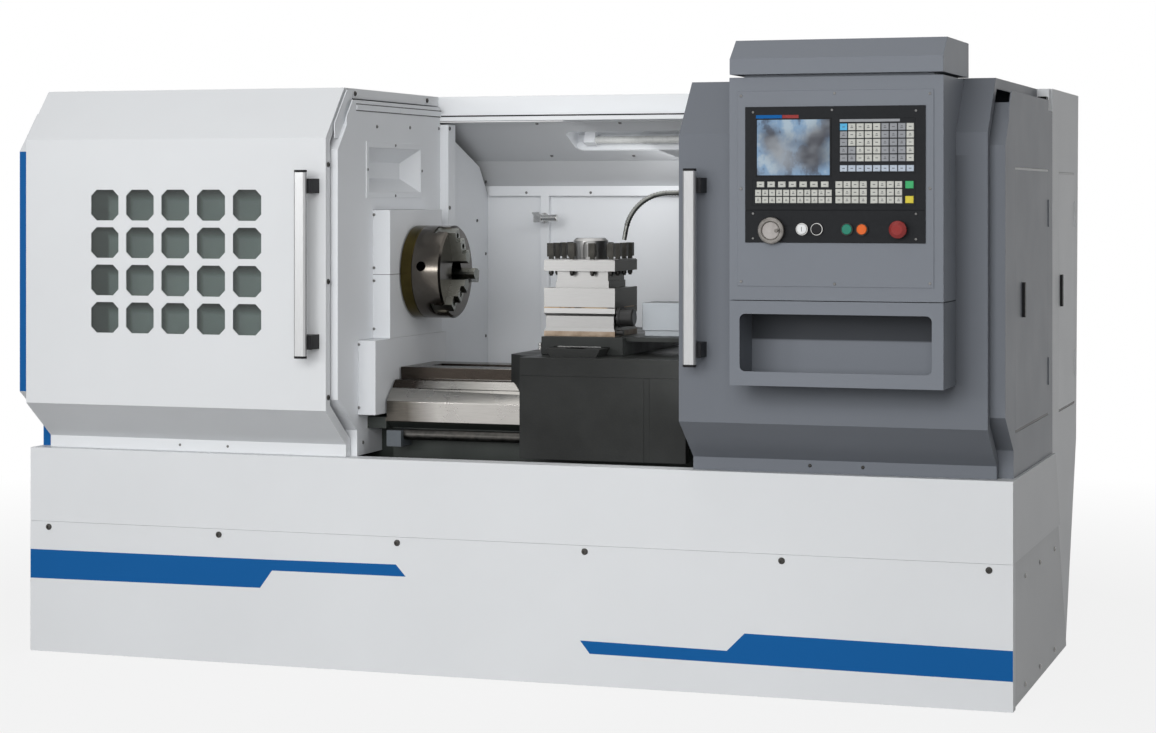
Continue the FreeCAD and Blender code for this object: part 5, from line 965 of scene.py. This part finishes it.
SCREW_ROW = 93.0
tip_spots = []
for side in range(4):
    c, s = math.cos(side * math.pi / 2), math.sin(side * math.pi / 2)
    for along in (-93, -28, 35):
        tip_spots.append((TURRET_CENTRE[0] + SCREW_ROW * c - along * s,
                          TURRET_CENTRE[1] + SCREW_ROW * s + along * c, 1171.2))
turnings("clamp_screw_tips", tip_spots, DOWN, [(0, 7.5), (9, 7.5), (12, 5), (15, 4.5)], 12,
         "turret", dark_steel)

# Saddle: the slide's wiper plate, and an oil cup on the left wing -----------------------

WIPER_Y = 222.05
wiper_edges = ([(1630, 948.5), (1763, 948.5), (1763, 951.5), (1630, 951.5)],
               [(1630, 948.5), (1643, 936), (1646, 936), (1634, 948.5)],
               [(1759, 948.5), (1750, 937), (1753, 937), (1763, 948.5)])
sheets("slide_wiper", [[(x, WIPER_Y, z) for x, z in edge] for edge in wiper_edges], (0, -1.2, 0),
       "cross_carriage", zinc)
turnings("saddle_oil_cup", [(1497, 448, 924.8)], UP,
         [(0, 9), (5, 9), (7, 6), (13, 6), (15, 7.5), (21, 7.5), (23, 4)], 20,
         "carriage", chrome)

# Coolant hose: the turns of its wound metal tube ----------------------------------------

HOSE_PATH = ((2044, 560, 949), (2044, 560, 1400), (1782, 474, 1402), (1757, 468, 1260))
HOSE_BEND = 110.0
BEND_STEPS = 32
TURN_PITCH = 9.0
TURN_SIZE = (6.4, 8.0, 5.6)
BARE_FOOT, BARE_NOZZLE = 3, 5


def hose_line(path, bend, step):
    """Points along straight runs and round bends, each a step apart, with their directions."""
    corners = [Vector(p) for p in path]
    line = [corners[0]]
    for before, corner, after in zip(corners, corners[1:], corners[2:]):
        back, ahead = (before - corner).normalized(), (after - corner).normalized()
        half = back.angle(ahead) / 2
        radius = bend * math.tan(half)
        centre = corner + (back + ahead).normalized() * (radius / math.sin(half))
        start, end = corner + back * bend - centre, corner + ahead * bend - centre
        sweep = start.angle(end)
        for i in range(BEND_STEPS + 1):
            t = i / BEND_STEPS
            a, b = math.sin((1 - t) * sweep), math.sin(t * sweep)
            line.append(centre + (start * a + end * b) / math.sin(sweep))
    line.append(corners[-1])
    spots, left = [], step
    for a, b in zip(line, line[1:]):
        length = (b - a).length
        direction = (b - a).normalized()
        while left < length:
            spots.append((a + direction * left, direction))
            left += step
        left -= length
    return spots


turns = bmesh.new()
for spot, direction in hose_line(HOSE_PATH, HOSE_BEND, TURN_PITCH)[BARE_FOOT:-BARE_NOZZLE]:
    ring(turns, spot, direction, *TURN_SIZE, sides=16)
piece("hose_turns", turns, "carriage", hose_metal)

# Floor and backdrop ---------------------------------------------------------------------

FLOOR_REACH = 30.0
POOL = (2.2, 5.5)
PURE_WHITE = (0.86, 1.0)
WORLD_LIGHT = 0.2


def seen_directly(nodes, links):
    """One for rays from the camera, off gloss and through glass, nought for light."""
    path = nodes.new("ShaderNodeLightPath")
    value = path.outputs["Is Camera Ray"]
    for kind in ("Is Glossy Ray", "Is Transmission Ray"):
        either = nodes.new("ShaderNodeMath")
        either.operation = "MAXIMUM"
        links.new(value, either.inputs[0])
        links.new(path.outputs[kind], either.inputs[1])
        value = either.outputs["Value"]
    return value


def blend(tree, share, under, over, output):
    """Mixes two shaders by a share and sends them to a tree's output."""
    node = tree.nodes.new("ShaderNodeMixShader")
    tree.links.new(share, node.inputs["Fac"])
    tree.links.new(under, node.inputs[1])
    tree.links.new(over, node.inputs[2])
    tree.links.new(node.outputs["Shader"], tree.nodes[output].inputs["Surface"])


floor_look = Look("pale_floor", Roughness=0.9, Specular_IOR_Level=0.1)
floor_look.colour(floor_look.patches(floor_look.noise(0.8, 3.0), (0.36, 0.36, 0.36),
                                     (0.40, 0.40, 0.40)))
glow = floor_look.nodes.new("ShaderNodeEmission")
glow.inputs["Color"].default_value = (1, 1, 1, 1)
reach = floor_look.distance("X", "Y", Vector((0, 0, 0)))
white_share = floor_look.spread(reach, *PURE_WHITE, *POOL)
share = floor_look.every(seen_directly(floor_look.nodes, floor_look.links), white_share)
blend(floor_look.material.node_tree, share, floor_look.shader.outputs["BSDF"],
      glow.outputs["Emission"], "Material Output")

ground = bmesh.new()
corners = ((-1, -1), (1, -1), (1, 1), (-1, 1))
ground.faces.new([ground.verts.new((x * FLOOR_REACH, y * FLOOR_REACH, 0.0)) for x, y in corners])
shown("studio_floor", ground, [floor_look.material])

world = bpy.data.worlds.new("studio")
bpy.context.scene.world = world
world.use_nodes = True
sky = world.node_tree.nodes["Background"]
backdrop = world.node_tree.nodes.new("ShaderNodeBackground")
for background, strength in ((sky, WORLD_LIGHT), (backdrop, 1.0)):
    background.inputs["Color"].default_value = (1, 1, 1, 1)
    background.inputs["Strength"].default_value = strength
blend(world.node_tree, seen_directly(world.node_tree.nodes, world.node_tree.links),
      sky.outputs["Background"], backdrop.outputs["Background"], "World Output")

# Light and camera -----------------------------------------------------------------------

def softbox(name, place, target, width, height, watts, in_gloss=True):
    """Rectangular lamp that looks at a target, in metres."""
    data = bpy.data.lights.new(name, "AREA")
    data.shape = "RECTANGLE"
    data.size = width
    data.size_y = height
    data.energy = watts
    lamp = bpy.data.objects.new(name, data)
    bpy.context.collection.objects.link(lamp)
    lamp.location = place
    lamp.visible_glossy = in_gloss
    lamp.visible_camera = False
    aim = Vector(target) - Vector(place)
    lamp.rotation_euler = aim.to_track_quat("-Z", "Y").to_euler()


softbox("front_softbox", (0.6, -8.5, 2.7), (0, 0, 1.0), 6.0, 4.0, 465, False)
softbox("chuck_softbox", (-3.5, -7.6, 2.2), (-0.3, -0.1, 1.1), 1.2, 0.7, 54)
softbox("top_softbox", (-0.6, -1.2, 5.2), (0, 0, 0.8), 4.0, 4.0, 28)
softbox("cabin_softbox", mm(1640, 800, 1500), mm(1200, 1000, 1000), 0.6, 0.12, 0.7, False)
softbox("doorway_softbox", mm(2070, 60, 1150), mm(1055, 300, 1050), 0.15, 0.7, 2.1, False)

CAMERA_PLACE = (2.575, -7.418, 1.387)
CAMERA_YAW = 18.54
LENS = 79.6
SENSOR = 36.0
LENS_SHIFT = -0.146

camera_data = bpy.data.cameras.new("camera")
camera_data.lens = LENS
camera_data.sensor_width = SENSOR
camera_data.shift_y = LENS_SHIFT
camera_data.clip_end = 100.0
camera = bpy.data.objects.new("camera", camera_data)
camera.location = CAMERA_PLACE
camera.rotation_euler = (math.radians(90), 0, math.radians(CAMERA_YAW))
bpy.context.collection.objects.link(camera)
bpy.context.scene.camera = camera
bpy.context.scene.view_settings.view_transform = "Standard"
